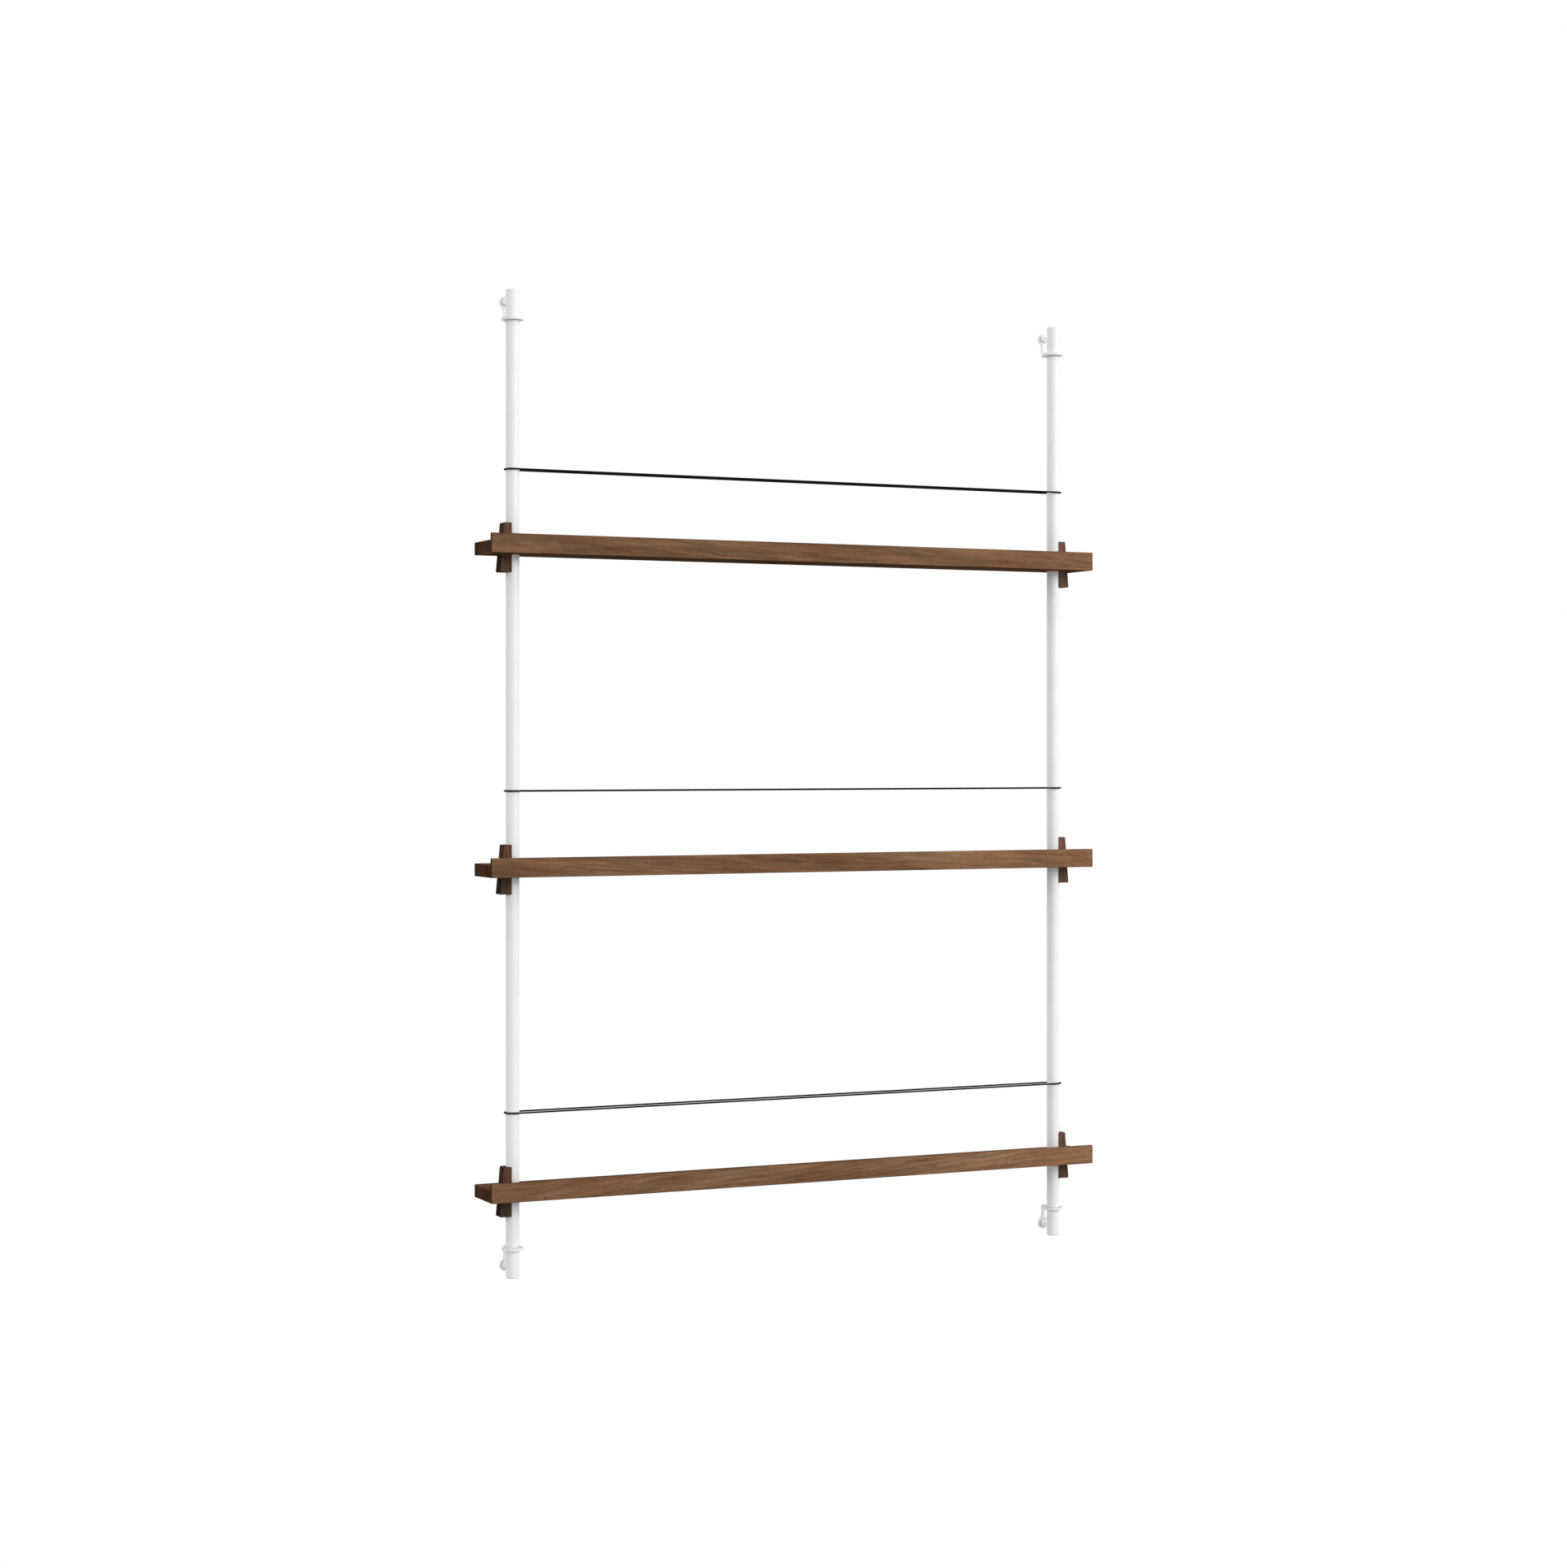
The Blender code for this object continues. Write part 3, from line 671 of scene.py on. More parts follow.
def zinc_plate(name):
    """Plated steel for a piece whose axis is Z."""
    made, tree, shader = finish_of(name, ZINC_COLOR, ZINC_ROUGHNESS, metallic=1.0)
    place = coordinates(tree)
    blotch = noise(tree, place, BLOTCH_CELLS, detail=3.0)
    lines = noise(tree, place, DIE_LINE_CELLS, detail=1.0)
    tint = mixed(tree, blotch, PALE_ZINC, DARK_ZINC)
    across = vectors_of(tree, "MULTIPLY", place, WITHOUT_HEIGHT)
    from_axis = node(tree, "ShaderNodeVectorMath", {0: across}, operation="LENGTH").outputs["Value"]
    # Painted shade: darker towards the root of the thread
    metal = scale_by(tree, tint, remap(tree, from_axis, ROOT_RADIUS, CREST_RADIUS, PAINTED_ROOT_SHADE, 1.0))
    gloss = remap(tree, blotch, *NOISE_SPREAD, *ZINC_ROUGHNESS_RANGE)
    lay_on(tree, shader, metal, gloss, lines, strength=0.2, depth=DIE_LINE_RELIEF)
    return made


ZINC = zinc_plate("zinc_plate")
print("Metal:", ZINC.name)

# %% [markdown]
# ## The black elastic
# The band is elastic cord: rubber threads in a braided black cover. At 2 mm thick the braid is far finer
# than a pixel from across a room, but close by it is what tells cord from wire. Real strands could be
# modelled, at a great many faces for each metre. Here two families of slanted stripes, taken from the
# cord's own coordinates, cross over and under by turns, and a bump raises them.

# %% Make the elastic
BRAID_STRANDS = 8
BRAID_STEP = 0.0034
BRAID_RELIEF = 0.00012
CORD_COLOR = (0.008, 0.008, 0.009)
CORD_ROUGHNESS = 0.78
# Painted shade and light: the deep threads are darker and the raised crowns lighter
SHADED_DEEP_THREAD = (0.003, 0.003, 0.003, 1)
LIT_RAISED_THREAD = (0.016, 0.016, 0.017, 1)
DEEP_TO_RAISED = (0.2, 1.0)
THREAD_ROUGHNESS_RANGE = (0.85, 0.62)


def braided_elastic(name):
    """Expects a UV map with the distance along the cord in metres, and the share of a turn round it."""
    made, tree, shader = finish_of(name, CORD_COLOR, CORD_ROUGHNESS, specular=0.0)
    place = parts_of(tree, node(tree, "ShaderNodeUVMap", uv_map="cord").outputs[0])
    around = math_of(tree, "MULTIPLY", place["Y"], float(BRAID_STRANDS))
    along = math_of(tree, "MULTIPLY", place["X"], BRAID_STRANDS / 2 / BRAID_STEP)
    ways = (math_of(tree, "ADD", around, along), math_of(tree, "SUBTRACT", around, along))
    humps = []
    squares = 0.0
    for way in ways:
        share = math_of(tree, "FRACT", way)
        humps.append(math_of(tree, "SINE", math_of(tree, "MULTIPLY", share, math.pi)))
        squares = math_of(tree, "ADD", squares, math_of(tree, "FLOOR", way))
    over = math_of(tree, "GREATER_THAN", math_of(tree, "PINGPONG", squares, 1.0), 0.5)
    strands = {"Factor": over, "A": humps[0], "B": humps[1]}
    raised = node(tree, "ShaderNodeMix", strands, data_type="FLOAT").outputs["Result"]
    # Painted shade in the braid's hollows and painted light on its crowns
    thread = mixed(tree, remap(tree, raised, *DEEP_TO_RAISED), SHADED_DEEP_THREAD, LIT_RAISED_THREAD)
    gloss = remap(tree, raised, 0.0, 1.0, *THREAD_ROUGHNESS_RANGE)
    lay_on(tree, shader, thread, gloss, raised, strength=0.7, depth=BRAID_RELIEF)
    return made


ELASTIC = braided_elastic("black_elastic")
print("Cord:", ELASTIC.name)

# %% [markdown]
# ## Hands for the workbench
# A few moves return for every piece: make an object, apply its modifiers, smooth what is round and keep
# flat what is flat. Weighted normals matter on long boards. Without them the rounding at an edge bends
# the light across the whole face beside it.

# %% Helpers for pieces
WELD = 0.000001
SHARP_CORNER = math.radians(50)
SMOOTH_BELOW = math.radians(32)


def add_piece(name, mesh, *materials):
    made = bpy.data.objects.new(name, mesh)
    scene.collection.objects.link(made)
    for material in materials:
        mesh.materials.append(material)
    return made


def mesh_from(name, shape):
    """A mesh from a bmesh, welded and with its faces turned outwards. The bmesh is freed."""
    bmesh.ops.remove_doubles(shape, verts=shape.verts, dist=WELD)
    bmesh.ops.recalc_face_normals(shape, faces=shape.faces)
    return kept(name, shape)


def round_edges(target, width, steps, material=-1):
    """Rounds the sharp edges. The new faces can take another of the piece's materials."""
    bevel = target.modifiers.new("round_edges", "BEVEL")
    bevel.width = width
    bevel.segments = steps
    bevel.limit_method = "ANGLE"
    bevel.angle_limit = SHARP_CORNER
    bevel.material = material


def cut_away(target, cutter):
    cut = target.modifiers.new("cut", "BOOLEAN")
    cut.operation = "DIFFERENCE"
    cut.solver = "EXACT"
    cut.object = cutter


def evaluated_mesh(target):
    """The mesh that the modifiers of an object, or the settings of a curve, make."""
    bpy.context.view_layer.update()
    evaluated = target.evaluated_get(bpy.context.evaluated_depsgraph_get())
    return bpy.data.meshes.new_from_object(evaluated)


def settle(target, *helpers):
    """Applies the modifiers, shades the result smooth below a sharp angle, and removes the helpers."""
    target.data.shade_smooth()
    target.data.set_sharp_from_angle(angle=SMOOTH_BELOW)
    weighted = target.modifiers.new("weighted", "WEIGHTED_NORMAL")
    weighted.keep_sharp = True
    mesh = evaluated_mesh(target)
    mesh.name = target.name
    target.modifiers.clear()
    target.data = mesh
    for helper in helpers:
        bpy.data.objects.remove(helper)
    return target


def dress(piece, cad_node, body):
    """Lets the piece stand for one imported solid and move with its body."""
    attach(piece, body)
    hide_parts(cad_node)
    print(piece.name, "has", len(piece.data.polygons), "faces")


print("The workbench is ready")

# %% Helpers for outlines
FLAT_WITHIN = math.radians(0.1)


def arc(centre, radius, start, end, steps):
    """Points along a circular arc from one angle to another, in degrees, both ends included."""
    points = []
    for step in range(steps + 1):
        angle = math.radians(start + (end - start) * step / steps)
        points.append((centre[0] + radius * math.cos(angle), centre[1] + radius * math.sin(angle)))
    return points


def prism(name, outlines, low, high):
    """A flat outline in X and Y, with any holes after it, raised from Z = low to Z = high."""
    flat = bpy.data.curves.new(name, "CURVE")
    flat.dimensions = "2D"
    flat.fill_mode = "BOTH"
    flat.extrude = (high - low) / 2
    for outline in outlines:
        spline = flat.splines.new("POLY")
        spline.points.add(len(outline) - 1)
        for point, (x, y) in zip(spline.points, outline):
            point.co = (x, y, 0, 1)
        spline.use_cyclic_u = True
    helper = add_piece(name, flat)
    rough = evaluated_mesh(helper)
    bpy.data.objects.remove(helper)
    shape = bmesh.new()
    shape.from_mesh(rough)
    bmesh.ops.translate(shape, verts=shape.verts, vec=(0, 0, (low + high) / 2))
    bmesh.ops.remove_doubles(shape, verts=shape.verts, dist=WELD)
    bmesh.ops.dissolve_limit(shape, angle_limit=FLAT_WITHIN, verts=shape.verts, edges=shape.edges)
    return mesh_from(name, shape)


def turned(name, profile, sides):
    """A profile of (radius, height) points turned about Z."""
    shape = bmesh.new()
    points = [shape.verts.new((radius, 0, height)) for radius, height in profile]
    for first, second in zip(points, points[1:]):
        shape.edges.new((first, second))
    everything = shape.verts[:] + shape.edges[:]
    bmesh.ops.spin(shape, geom=everything, axis=(0, 0, 1), cent=(0, 0, 0), steps=sides, angle=math.tau)
    return mesh_from(name, shape)


print("Outlines can be raised or turned")

# %% [markdown]
# ## The rods
# Each rod is round steel bar, cut square, with the burr taken off both rims, then powder coated. A
# cylinder with a bevel would come close. Turning a profile is as short and gives full control of the
# rims: a straight side, a quarter round of paint-softened edge, and a flat end.

# %% Turn the rods
ROD_SIDES = 96
ROD_RIM = 0.0011
RIM_STEPS = 6

rod_length = rod_high.z - rod_low.z
rim_centre = ROD_RADIUS - ROD_RIM
profile = [(0, rod_length)]
profile += reversed(arc((rim_centre, rod_length - ROD_RIM), ROD_RIM, 0, 90, RIM_STEPS))
profile += reversed(arc((rim_centre, ROD_RIM), ROD_RIM, -90, 0, RIM_STEPS))
profile += [(0, 0)]
rod_mesh = turned("rod", profile, ROD_SIDES)
for side, direction in SIDES.items():
    rod = add_piece("coated_rod_" + side, rod_mesh.copy(), WHITE_COAT)
    rod.location = (direction * ROD_X, ROD_Y, rod_low.z)
    settle(rod)
    dress(rod, "rod_" + side, "wall_frame")

# %% [markdown]
# ## The wall brackets
# A bracket is one strip of 3 mm steel: a ring for the rod, a narrow neck, a right-angled bend and a small
# round plate for the screw. It could be put together from a torus, a box and a disc, but the joints would
# show. The real one is cut flat and then bent, and so is this one: an outline with two holes, raised to
# its thickness, cut across where the bend runs, and rolled round the bend's radius.

# %% Cut the blank
STRIP = 0.003
NECK_WIDTH = 0.004
NECK_FILLET = 0.006
BEND_RADIUS = 0.002
PLATE_RADIUS = 0.0071
SCREW_HOLE_RADIUS = 0.0023
FILLET_STEPS = 10
RING_SIDES = 72
PLATE_SIDES = 48

bracket_low, bracket_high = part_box("wall_bracket_top_right")
RING_RADIUS = (bracket_high.x - bracket_low.x) / 2
PLATE_ABOVE_RING = bracket_high.z - PLATE_RADIUS - bracket_low.z
BEND_START = -ROD_Y - STRIP - BEND_RADIUS
BEND_LENGTH = (BEND_RADIUS + STRIP / 2) * QUARTER_TURN


def lobe(radius, facing, steps):
    """Half of the strip's outline, between two fillets. The neck leaves along Y, or -Y if facing is -1."""
    half_neck = NECK_WIDTH / 2
    fillet_x = half_neck + NECK_FILLET
    fillet_y = math.sqrt((radius + NECK_FILLET) ** 2 - fillet_x**2)
    meet = math.degrees(math.atan2(fillet_y, fillet_x))
    points = arc((-fillet_x, fillet_y), NECK_FILLET, 0, -meet, FILLET_STEPS)
    points += arc((0, 0), radius, 180 - meet, 360 + meet, steps)[1:-1]
    points += arc((fillet_x, fillet_y), NECK_FILLET, 180 + meet, 180, FILLET_STEPS)
    return [(facing * x, facing * y) for x, y in points]


plate_along = BEND_START + BEND_LENGTH + PLATE_ABOVE_RING - BEND_RADIUS - STRIP
plate_lobe = [(x, y + plate_along) for x, y in lobe(PLATE_RADIUS, -1, PLATE_SIDES)]
rod_hole = arc((0, 0), ROD_HOLE_RADIUS, 0, 360, RING_SIDES)[:-1]
screw_hole = arc((0, plate_along), SCREW_HOLE_RADIUS, 0, 360, PLATE_SIDES)[:-1]
blank = prism("bracket", [lobe(RING_RADIUS, 1, RING_SIDES) + plate_lobe, rod_hole, screw_hole], 0, STRIP)
print("From the ring's axis to the plate's, the flat blank is", round(plate_along, 4), "m long")

# %% Bend the brackets and hang them
BEND_STEPS = 12
BRACKET_EDGE = 0.00035


def bent(point):
    """Where a point of the flat strip lies once the strip is bent up along the wall."""
    x, along, through = point
    middle = BEND_RADIUS + STRIP / 2
    turn = min(max((along - BEND_START) / middle, 0), QUARTER_TURN)
    radius = BEND_RADIUS + STRIP - through
    past = max(along - BEND_START - middle * QUARTER_TURN, 0)
    y = min(along, BEND_START) + radius * math.sin(turn)
    return Vector((x, y, BEND_RADIUS + STRIP - radius * math.cos(turn) + past))


strip = bmesh.new()
strip.from_mesh(blank)
for step in range(BEND_STEPS + 1):
    line = Vector((0, BEND_START + BEND_LENGTH * step / BEND_STEPS, 0))
    everything = strip.verts[:] + strip.edges[:] + strip.faces[:]
    bmesh.ops.bisect_plane(strip, geom=everything, dist=WELD, plane_co=line, plane_no=(0, 1, 0))
for vertex in strip.verts:
    vertex.co = bent(vertex.co)
bracket_mesh = mesh_from("bracket", strip)

for end, direction_up in ENDS.items():
    for side, direction in SIDES.items():
        low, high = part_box(f"wall_bracket_{end}_{side}")
        bracket = add_piece(f"bent_bracket_{end}_{side}", bracket_mesh.copy(), BRACKET_COAT)
        bracket.location = (direction * ROD_X, ROD_Y, low.z if direction_up > 0 else high.z)
        bracket.rotation_euler = (0, 0 if direction_up > 0 else math.pi, 0)
        round_edges(bracket, BRACKET_EDGE, steps=3)
        settle(bracket)
        dress(bracket, f"wall_bracket_{end}_{side}", "wall_frame")

# %% [markdown]
# ## The wall screws
# A domed wood screw holds each plate. The head is a turned dome with a cross recess, enamelled white
# inside and out, and the shank is bare zinc. A thread could be a texture, but it is seen edge on, so it
# is real here: a grid whose rows climb one pitch in each turn, with every fourth row pushed out to a
# crest. Rows that would start above the thread or end below the tip are held there, which closes both
# ends.

# %% Turn the screws' heads
HEAD_RIM = 0.0005
HEAD_CHAMFER = 0.0002
SMOOTH_SHANK = 0.0065
NECK_TAPER = 0.0006
NECK_END = 0.0012
RECESS_SPAN = 0.0048
RECESS_WIDTH = 0.0012
RECESS_TIP_WIDTH = 0.0009
RECESS_DEPTH = 0.0015
RECESS_EDGE = 0.00012
HEAD_SIDES = 64
DOME_STEPS = 14

screw_low, screw_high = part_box("wall_screw_top_right")
HEAD_RADIUS = (screw_high.x - screw_low.x) / 2
HEAD_SEAT_Y = -STRIP - SEAT_GAP
HEAD_HEIGHT = HEAD_SEAT_Y - screw_low.y


def screw_head():
    """The dome and the smooth neck below it, with the recess cut out."""
    profile = []
    for step in range(DOME_STEPS + 1):
        angle = QUARTER_TURN * step / DOME_STEPS
        height = HEAD_RIM + (HEAD_HEIGHT - HEAD_RIM) * math.cos(angle)
        profile.append((HEAD_RADIUS * math.sin(angle), height))
    profile += [(HEAD_RADIUS, HEAD_CHAMFER), (HEAD_RADIUS - HEAD_CHAMFER, 0), (CREST_RADIUS, 0)]
    profile += [(CREST_RADIUS, -SMOOTH_SHANK), (ROOT_RADIUS, -SMOOTH_SHANK - NECK_TAPER)]
    profile += [(ROOT_RADIUS, -SMOOTH_SHANK - NECK_END), (0, -SMOOTH_SHANK - NECK_END)]
    head = add_piece("screw_head", turned("screw_head", profile, HEAD_SIDES), WHITE_ENAMEL, ZINC)
    arm, half, tip = RECESS_SPAN / 2, RECESS_WIDTH / 2, RECESS_TIP_WIDTH / 2
    cross = [(arm, tip), (half, half), (tip, arm), (-tip, arm), (-half, half), (-arm, tip)]
    cross += [(-x, -y) for x, y in cross]
    cutter_mesh = prism("recess", [cross], HEAD_HEIGHT - RECESS_DEPTH, HEAD_HEIGHT * 2)
    cutter = add_piece("recess", cutter_mesh, WHITE_ENAMEL)
    cut_away(head, cutter)
    round_edges(head, RECESS_EDGE, steps=2)
    return settle(head, cutter)


head = screw_head()
print("A head is", round(HEAD_RADIUS * 2, 4), "m across and", round(HEAD_HEIGHT, 4), "m high")

# %% Roll the thread
SCREW_LENGTH = screw_high.y - HEAD_SEAT_Y
THREAD_PITCH = 0.0018
THREAD_SIDES = 32
TIP_LENGTH = 0.006
TIP_FULLNESS = 0.8
CREST_AT_TIP = 1.2
THINNEST = 0.00002
# Where in the pitch each row starts, and its share of the crest's height
THREAD_ROWS = ((0.0, 0.0), (0.36, 0.0), (0.50, 1.0), (0.64, 0.0))


def thread_mesh():
    """The rolled thread, as a closed skin from the smooth shank to the tip."""
    top, bottom = -SMOOTH_SHANK, -SCREW_LENGTH
    turns = math.ceil((top - bottom) / THREAD_PITCH)
    shape = bmesh.new()
    grid = []
    for turn in range(-1, turns + 1):
        for share, crest in THREAD_ROWS:
            row = []
            for side in range(THREAD_SIDES + 1):
                depth = (turn + share + side / THREAD_SIDES) * THREAD_PITCH
                height = min(max(top - depth, bottom), top)
                above_tip = min((height - bottom) / TIP_LENGTH, 1)
                root = ROOT_RADIUS * above_tip**TIP_FULLNESS
                fade = min((top - height) / THREAD_PITCH, above_tip * CREST_AT_TIP, 1)
                radius = root + (CREST_RADIUS - ROOT_RADIUS) * crest * fade
                angle = math.tau * side / THREAD_SIDES
                row.append(shape.verts.new((radius * math.cos(angle), radius * math.sin(angle), height)))
            grid.append(row)
    for upper, lower in zip(grid, grid[1:]):
        for side in range(THREAD_SIDES):
            shape.faces.new((upper[side], upper[side + 1], lower[side + 1], lower[side]))
    bmesh.ops.remove_doubles(shape, verts=shape.verts, dist=WELD)
    open_edges = [edge for edge in shape.edges if edge.is_boundary]
    bmesh.ops.holes_fill(shape, edges=open_edges, sides=0)
    bmesh.ops.dissolve_degenerate(shape, edges=shape.edges, dist=THINNEST)
    return mesh_from("thread", shape)


thread = add_piece("thread", thread_mesh(), ZINC)
settle(thread)
print("The thread has", len(thread.data.polygons), "faces")

# %% Join the screws and drive them in
ZINC_INDEX = 1
HEAD_UNDERSIDE = -0.0001

for polygon in head.data.polygons:
    if polygon.center.z < HEAD_UNDERSIDE:
        polygon.material_index = ZINC_INDEX
joined = bmesh.new()
joined.from_mesh(head.data)
first_face_of_thread = len(joined.faces)
joined.from_mesh(thread.data)
joined.faces.ensure_lookup_table()
for face in joined.faces[first_face_of_thread:]:
    face.material_index = ZINC_INDEX
bmesh.ops.dissolve_degenerate(joined, edges=joined.edges, dist=THINNEST)
screw_mesh = kept("screw", joined)
for helper in (head, thread):
    bpy.data.objects.remove(helper)
for end in ENDS:
    for side, direction in SIDES.items():
        low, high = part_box(f"wall_screw_{end}_{side}")
        screw = add_piece(f"domed_screw_{end}_{side}", screw_mesh.copy(), WHITE_ENAMEL, ZINC)
        screw.location = (direction * ROD_X, HEAD_SEAT_Y, (low.z + high.z) / 2)
        screw.rotation_euler = (QUARTER_TURN, 0, 0)
        settle(screw)
        dress(screw, f"wall_screw_{end}_{side}", "wall_frame")

# %% [markdown]
# ## The shelves
# A shelf is a plank with a low lip along its front, worked from one piece, so its end shows an L. Two
# boxes would leave a seam. One L-shaped outline, drawn out to the shelf's length, doesn't. The slots are
# cut through it as they are on the real one: half round where the rod bears, straight sides, and a far
# wall that leans with the wedge. Edges are sanded round, and handling has rubbed them a shade lighter.

# %% Shape the slots
PLANK = 0.015
WEDGE_TILT = math.radians(4.9)
SLOT_MARGIN = 0.004
SLOT_STEPS = 32
BEYOND_THE_SLOT = 1

wedge_low, wedge_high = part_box("wedge_top_right")
WEDGE_WIDE = wedge_high.x - ROD_X
WEDGE_BELOW = UNDERSIDES["top"] - wedge_low.z
WEDGE_ABOVE = wedge_high.z - UNDERSIDES["top"]
WEDGE_HALF_DEPTH = (wedge_high.y - wedge_low.y) / 2


def outer_face(height):
    """How far the wedge's leaning face is from the rod's axis, at a height above the shelf's underside."""
    return WEDGE_WIDE - (height + WEDGE_BELOW) * math.tan(WEDGE_TILT)


def slot_cutter(name, direction, underside):
    """What the slot takes away: round behind the rod, with its far wall moved in to the wedge's lean."""
    half_width = WEDGE_HALF_DEPTH + SEAT_GAP
    outline = arc((0, 0), ROD_HOLE_RADIUS, 90, 270, SLOT_STEPS)
    outline += [(BEYOND_THE_SLOT, -half_width), (BEYOND_THE_SLOT, half_width)]
    mesh = prism(name, [outline], -SLOT_MARGIN, PLANK + SLOT_MARGIN)
    for vertex in mesh.vertices:
        if vertex.co.x > ROD_RADIUS * 2:
            vertex.co.x = outer_face(vertex.co.z) + SEAT_GAP / math.cos(WEDGE_TILT)
    cutter = add_piece(name, mesh)
    cutter.location = (direction * ROD_X, ROD_Y, underside)
    cutter.rotation_euler = (0, 0, 0 if direction > 0 else math.pi)
    return cutter


print("A wedge's face leans by", round(outer_face(-WEDGE_BELOW) - outer_face(WEDGE_ABOVE), 4), "m in all")

# %% Saw and round the shelves
LIP_THICKNESS = 0.0055
EDGE_ROUND = 0.0007
SLOT_ROUND = 0.0005
EDGE_WOOD_INDEX = 1


def shelf_blank(level):
    """The L-shaped outline drawn out along X, in place."""
    low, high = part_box("shelf_" + level)
    plank_top = low.z + PLANK
    lip_rear = low.y + LIP_THICKNESS
    outline = [(low.y, low.z), (high.y, low.z), (high.y, plank_top)]
    outline += [(lip_rear, plank_top), (lip_rear, high.z), (low.y, high.z)]
    shape = bmesh.new()
    end = shape.faces.new([shape.verts.new((low.x, y, z)) for y, z in outline])
    drawn = bmesh.ops.extrude_face_region(shape, geom=[end])
    moved = [item for item in drawn["geom"] if isinstance(item, bmesh.types.BMVert)]
    bmesh.ops.translate(shape, verts=moved, vec=(high.x - low.x, 0, 0))
    return mesh_from("shelf", shape)


for level in LEVELS:
    woods = (SHELF_WOOD[level], SHELF_EDGE_WOOD[level])
    shelf = add_piece("wooden_shelf_" + level, shelf_blank(level), *woods)
    round_edges(shelf, EDGE_ROUND, steps=4, material=EDGE_WOOD_INDEX)
    cutters = []
    for side, direction in SIDES.items():
        cutters.append(slot_cutter("slot_" + side, direction, UNDERSIDES[level]))
        cut_away(shelf, cutters[-1])
    round_edges(shelf, SLOT_ROUND, steps=2, material=EDGE_WOOD_INDEX)
    settle(shelf, *cutters)
    dress(shelf, "shelf_" + level, level + "_shelf")

# %% [markdown]
# ## The wedges
# A wedge is sawn from the same dark timber with the grain upright, so it does not snap across. Its outer
# face leans by 4.9 degrees, its lower end is the wide one, and the side that meets the rod is hollowed to
# fit it. The load of the shelf drives it tighter. It is drawn as its side view, with the outer corners
# rounded, raised to its depth and laid on its side, and then the hollow is cut with a cylinder.

# %% Shape the wedges
WEDGE_CORNER = 0.0012
WEDGE_CORNER_STEPS = 6
WEDGE_EDGE = 0.0003
WEDGE_INNER = 0.0038
HOLLOW_SIDES = 96
HOLLOW_LENGTH = 0.2


def wedge_mesh():
    """The right-hand wedge, with the rod's axis on Z and heights from the shelf's underside."""
    bottom, top = -WEDGE_BELOW, WEDGE_ABOVE
    lean = math.degrees(WEDGE_TILT)
    outline = [(WEDGE_INNER, top), (WEDGE_INNER, bottom)]
    for height, start, end in ((bottom + WEDGE_CORNER, -90, lean), (top - WEDGE_CORNER, lean, 90)):
        centre = (outer_face(height) - WEDGE_CORNER / math.cos(WEDGE_TILT), height)
        outline += arc(centre, WEDGE_CORNER, start, end, WEDGE_CORNER_STEPS)
    flat = prism("wedge", [outline], -WEDGE_HALF_DEPTH, WEDGE_HALF_DEPTH)
    flat.transform(Matrix.Rotation(QUARTER_TURN, 4, "X"))
    return flat


def hollow_mesh():
    """A round bar as thick as the hole for the rod, which hollows the wedge out."""
    bar = bmesh.new()
    size = {"radius1": ROD_HOLE_RADIUS, "radius2": ROD_HOLE_RADIUS, "depth": HOLLOW_LENGTH}
    bmesh.ops.create_cone(bar, cap_ends=True, segments=HOLLOW_SIDES, **size)
    return mesh_from("hollow", bar)


for level in LEVELS:
    for side, direction in SIDES.items():
        wedge = add_piece(f"wooden_wedge_{level}_{side}", wedge_mesh(), WEDGE_WOOD, WEDGE_EDGE_WOOD)
        wedge.location = (direction * ROD_X, ROD_Y, UNDERSIDES[level])
        wedge.rotation_euler = (0, 0, 0 if direction > 0 else math.pi)
        cutter = add_piece("hollow", hollow_mesh())
        cutter.location = wedge.location
        cut_away(wedge, cutter)
        round_edges(wedge, WEDGE_EDGE, steps=3, material=EDGE_WOOD_INDEX)
        settle(wedge, cutter)
        # The grain is read from the place in space, so the piece's own place goes into its mesh
        wedge.data.transform(wedge.matrix_world)
        wedge.matrix_world = Matrix.Identity(4)
        dress(wedge, f"wedge_{level}_{side}", f"{level}_{side}_wedge")

# %% [markdown]
# ## The elastic bands
# Each band is one closed loop of cord, stretched round both rods, with one strand in front of them and
# one behind. A curve with a round bevel would give the shape but not the coordinates that the braid
# needs. So the tube is built ring by ring along the route, and each corner notes how far along the cord
# and how far round it is.

# %% Stretch the bands
CORD_SIDES = 20
TURN_STEPS = 28


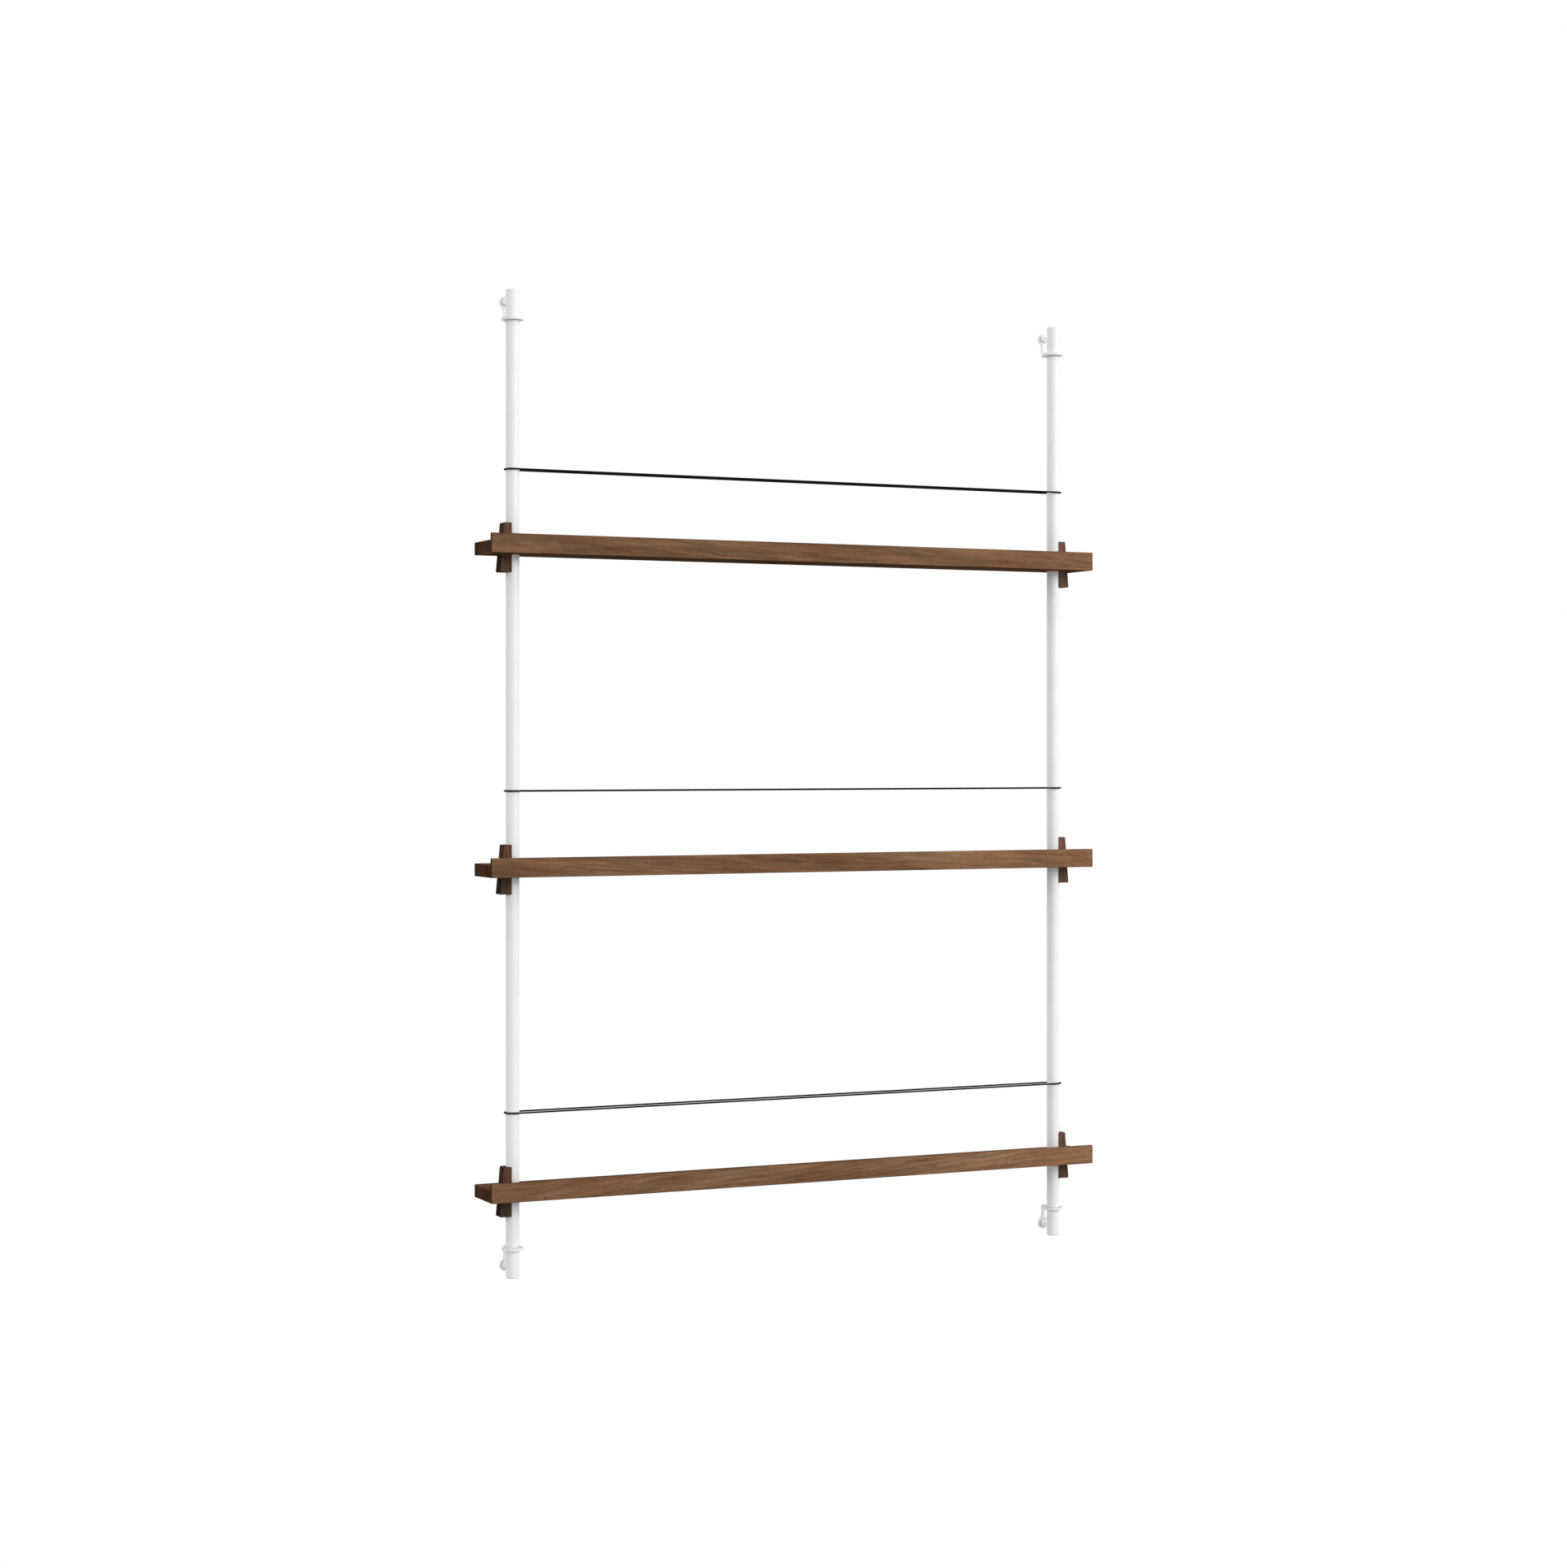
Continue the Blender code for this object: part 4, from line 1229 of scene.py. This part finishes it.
def cord_route(radius):
    """Points round both rods at height nought, each with its outward direction, the first not repeated."""
    route = []
    for centre, start in ((ROD_X, -90), (-ROD_X, 90)):
        for step in range(TURN_STEPS + 1):
            angle = math.radians(start + 180 * step / TURN_STEPS)
            outward = Vector((math.cos(angle), math.sin(angle), 0))
            route.append((Vector((centre, ROD_Y, 0)) + radius * outward, outward))
    return route


def band_mesh(height, cord_radius):
    """A tube round both rods, mapped by the distance along the cord and the share of a turn round it."""
    route = cord_route(ROD_RADIUS + SEAT_GAP + cord_radius)
    shape = bmesh.new()
    cord_map = shape.loops.layers.uv.new("cord")
    rings = []
    for centre, outward in route:
        ring = []
        for side in range(CORD_SIDES):
            angle = math.tau * side / CORD_SIDES
            offset = cord_radius * (math.cos(angle) * outward + math.sin(angle) * Vector((0, 0, 1)))
            ring.append(shape.verts.new(centre + offset + Vector((0, 0, height))))
        rings.append(ring)
    distance = 0.0
    for index, (centre, _) in enumerate(route):
        after = (index + 1) % len(route)
        length = (route[after][0] - centre).length
        for side in range(CORD_SIDES):
            beside = (side + 1) % CORD_SIDES
            corners = (rings[index][side], rings[after][side], rings[after][beside], rings[index][beside])
            places = ((0, side), (length, side), (length, side + 1), (0, side + 1))
            face = shape.faces.new(corners)
            for loop, (past, turn) in zip(face.loops, places):
                loop[cord_map].uv = (distance + past, turn / CORD_SIDES)
        distance += length
    bmesh.ops.recalc_face_normals(shape, faces=shape.faces)
    print("Cord length", round(distance, 3), "m")
    return kept("band", shape)


for level in LEVELS:
    low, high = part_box("band_" + level)
    mesh = band_mesh((low.z + high.z) / 2, (high.z - low.z) / 2)
    band = add_piece("elastic_band_" + level, mesh, ELASTIC)
    settle(band)
    dress(band, "band_" + level, level + "_band")

# %% [markdown]
# ## Checking the size
# Dressing must not make the object grow. The box of everything that shows is measured against the box of
# the imported solids, and what it has grown by is printed.

# %% Compare the boxes and finish
dressed_low, dressed_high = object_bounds()
growth = (dressed_high - dressed_low) - (cad_high - cad_low)
print("Grown by", [round(side * 1000, 2) for side in growth], "mm")
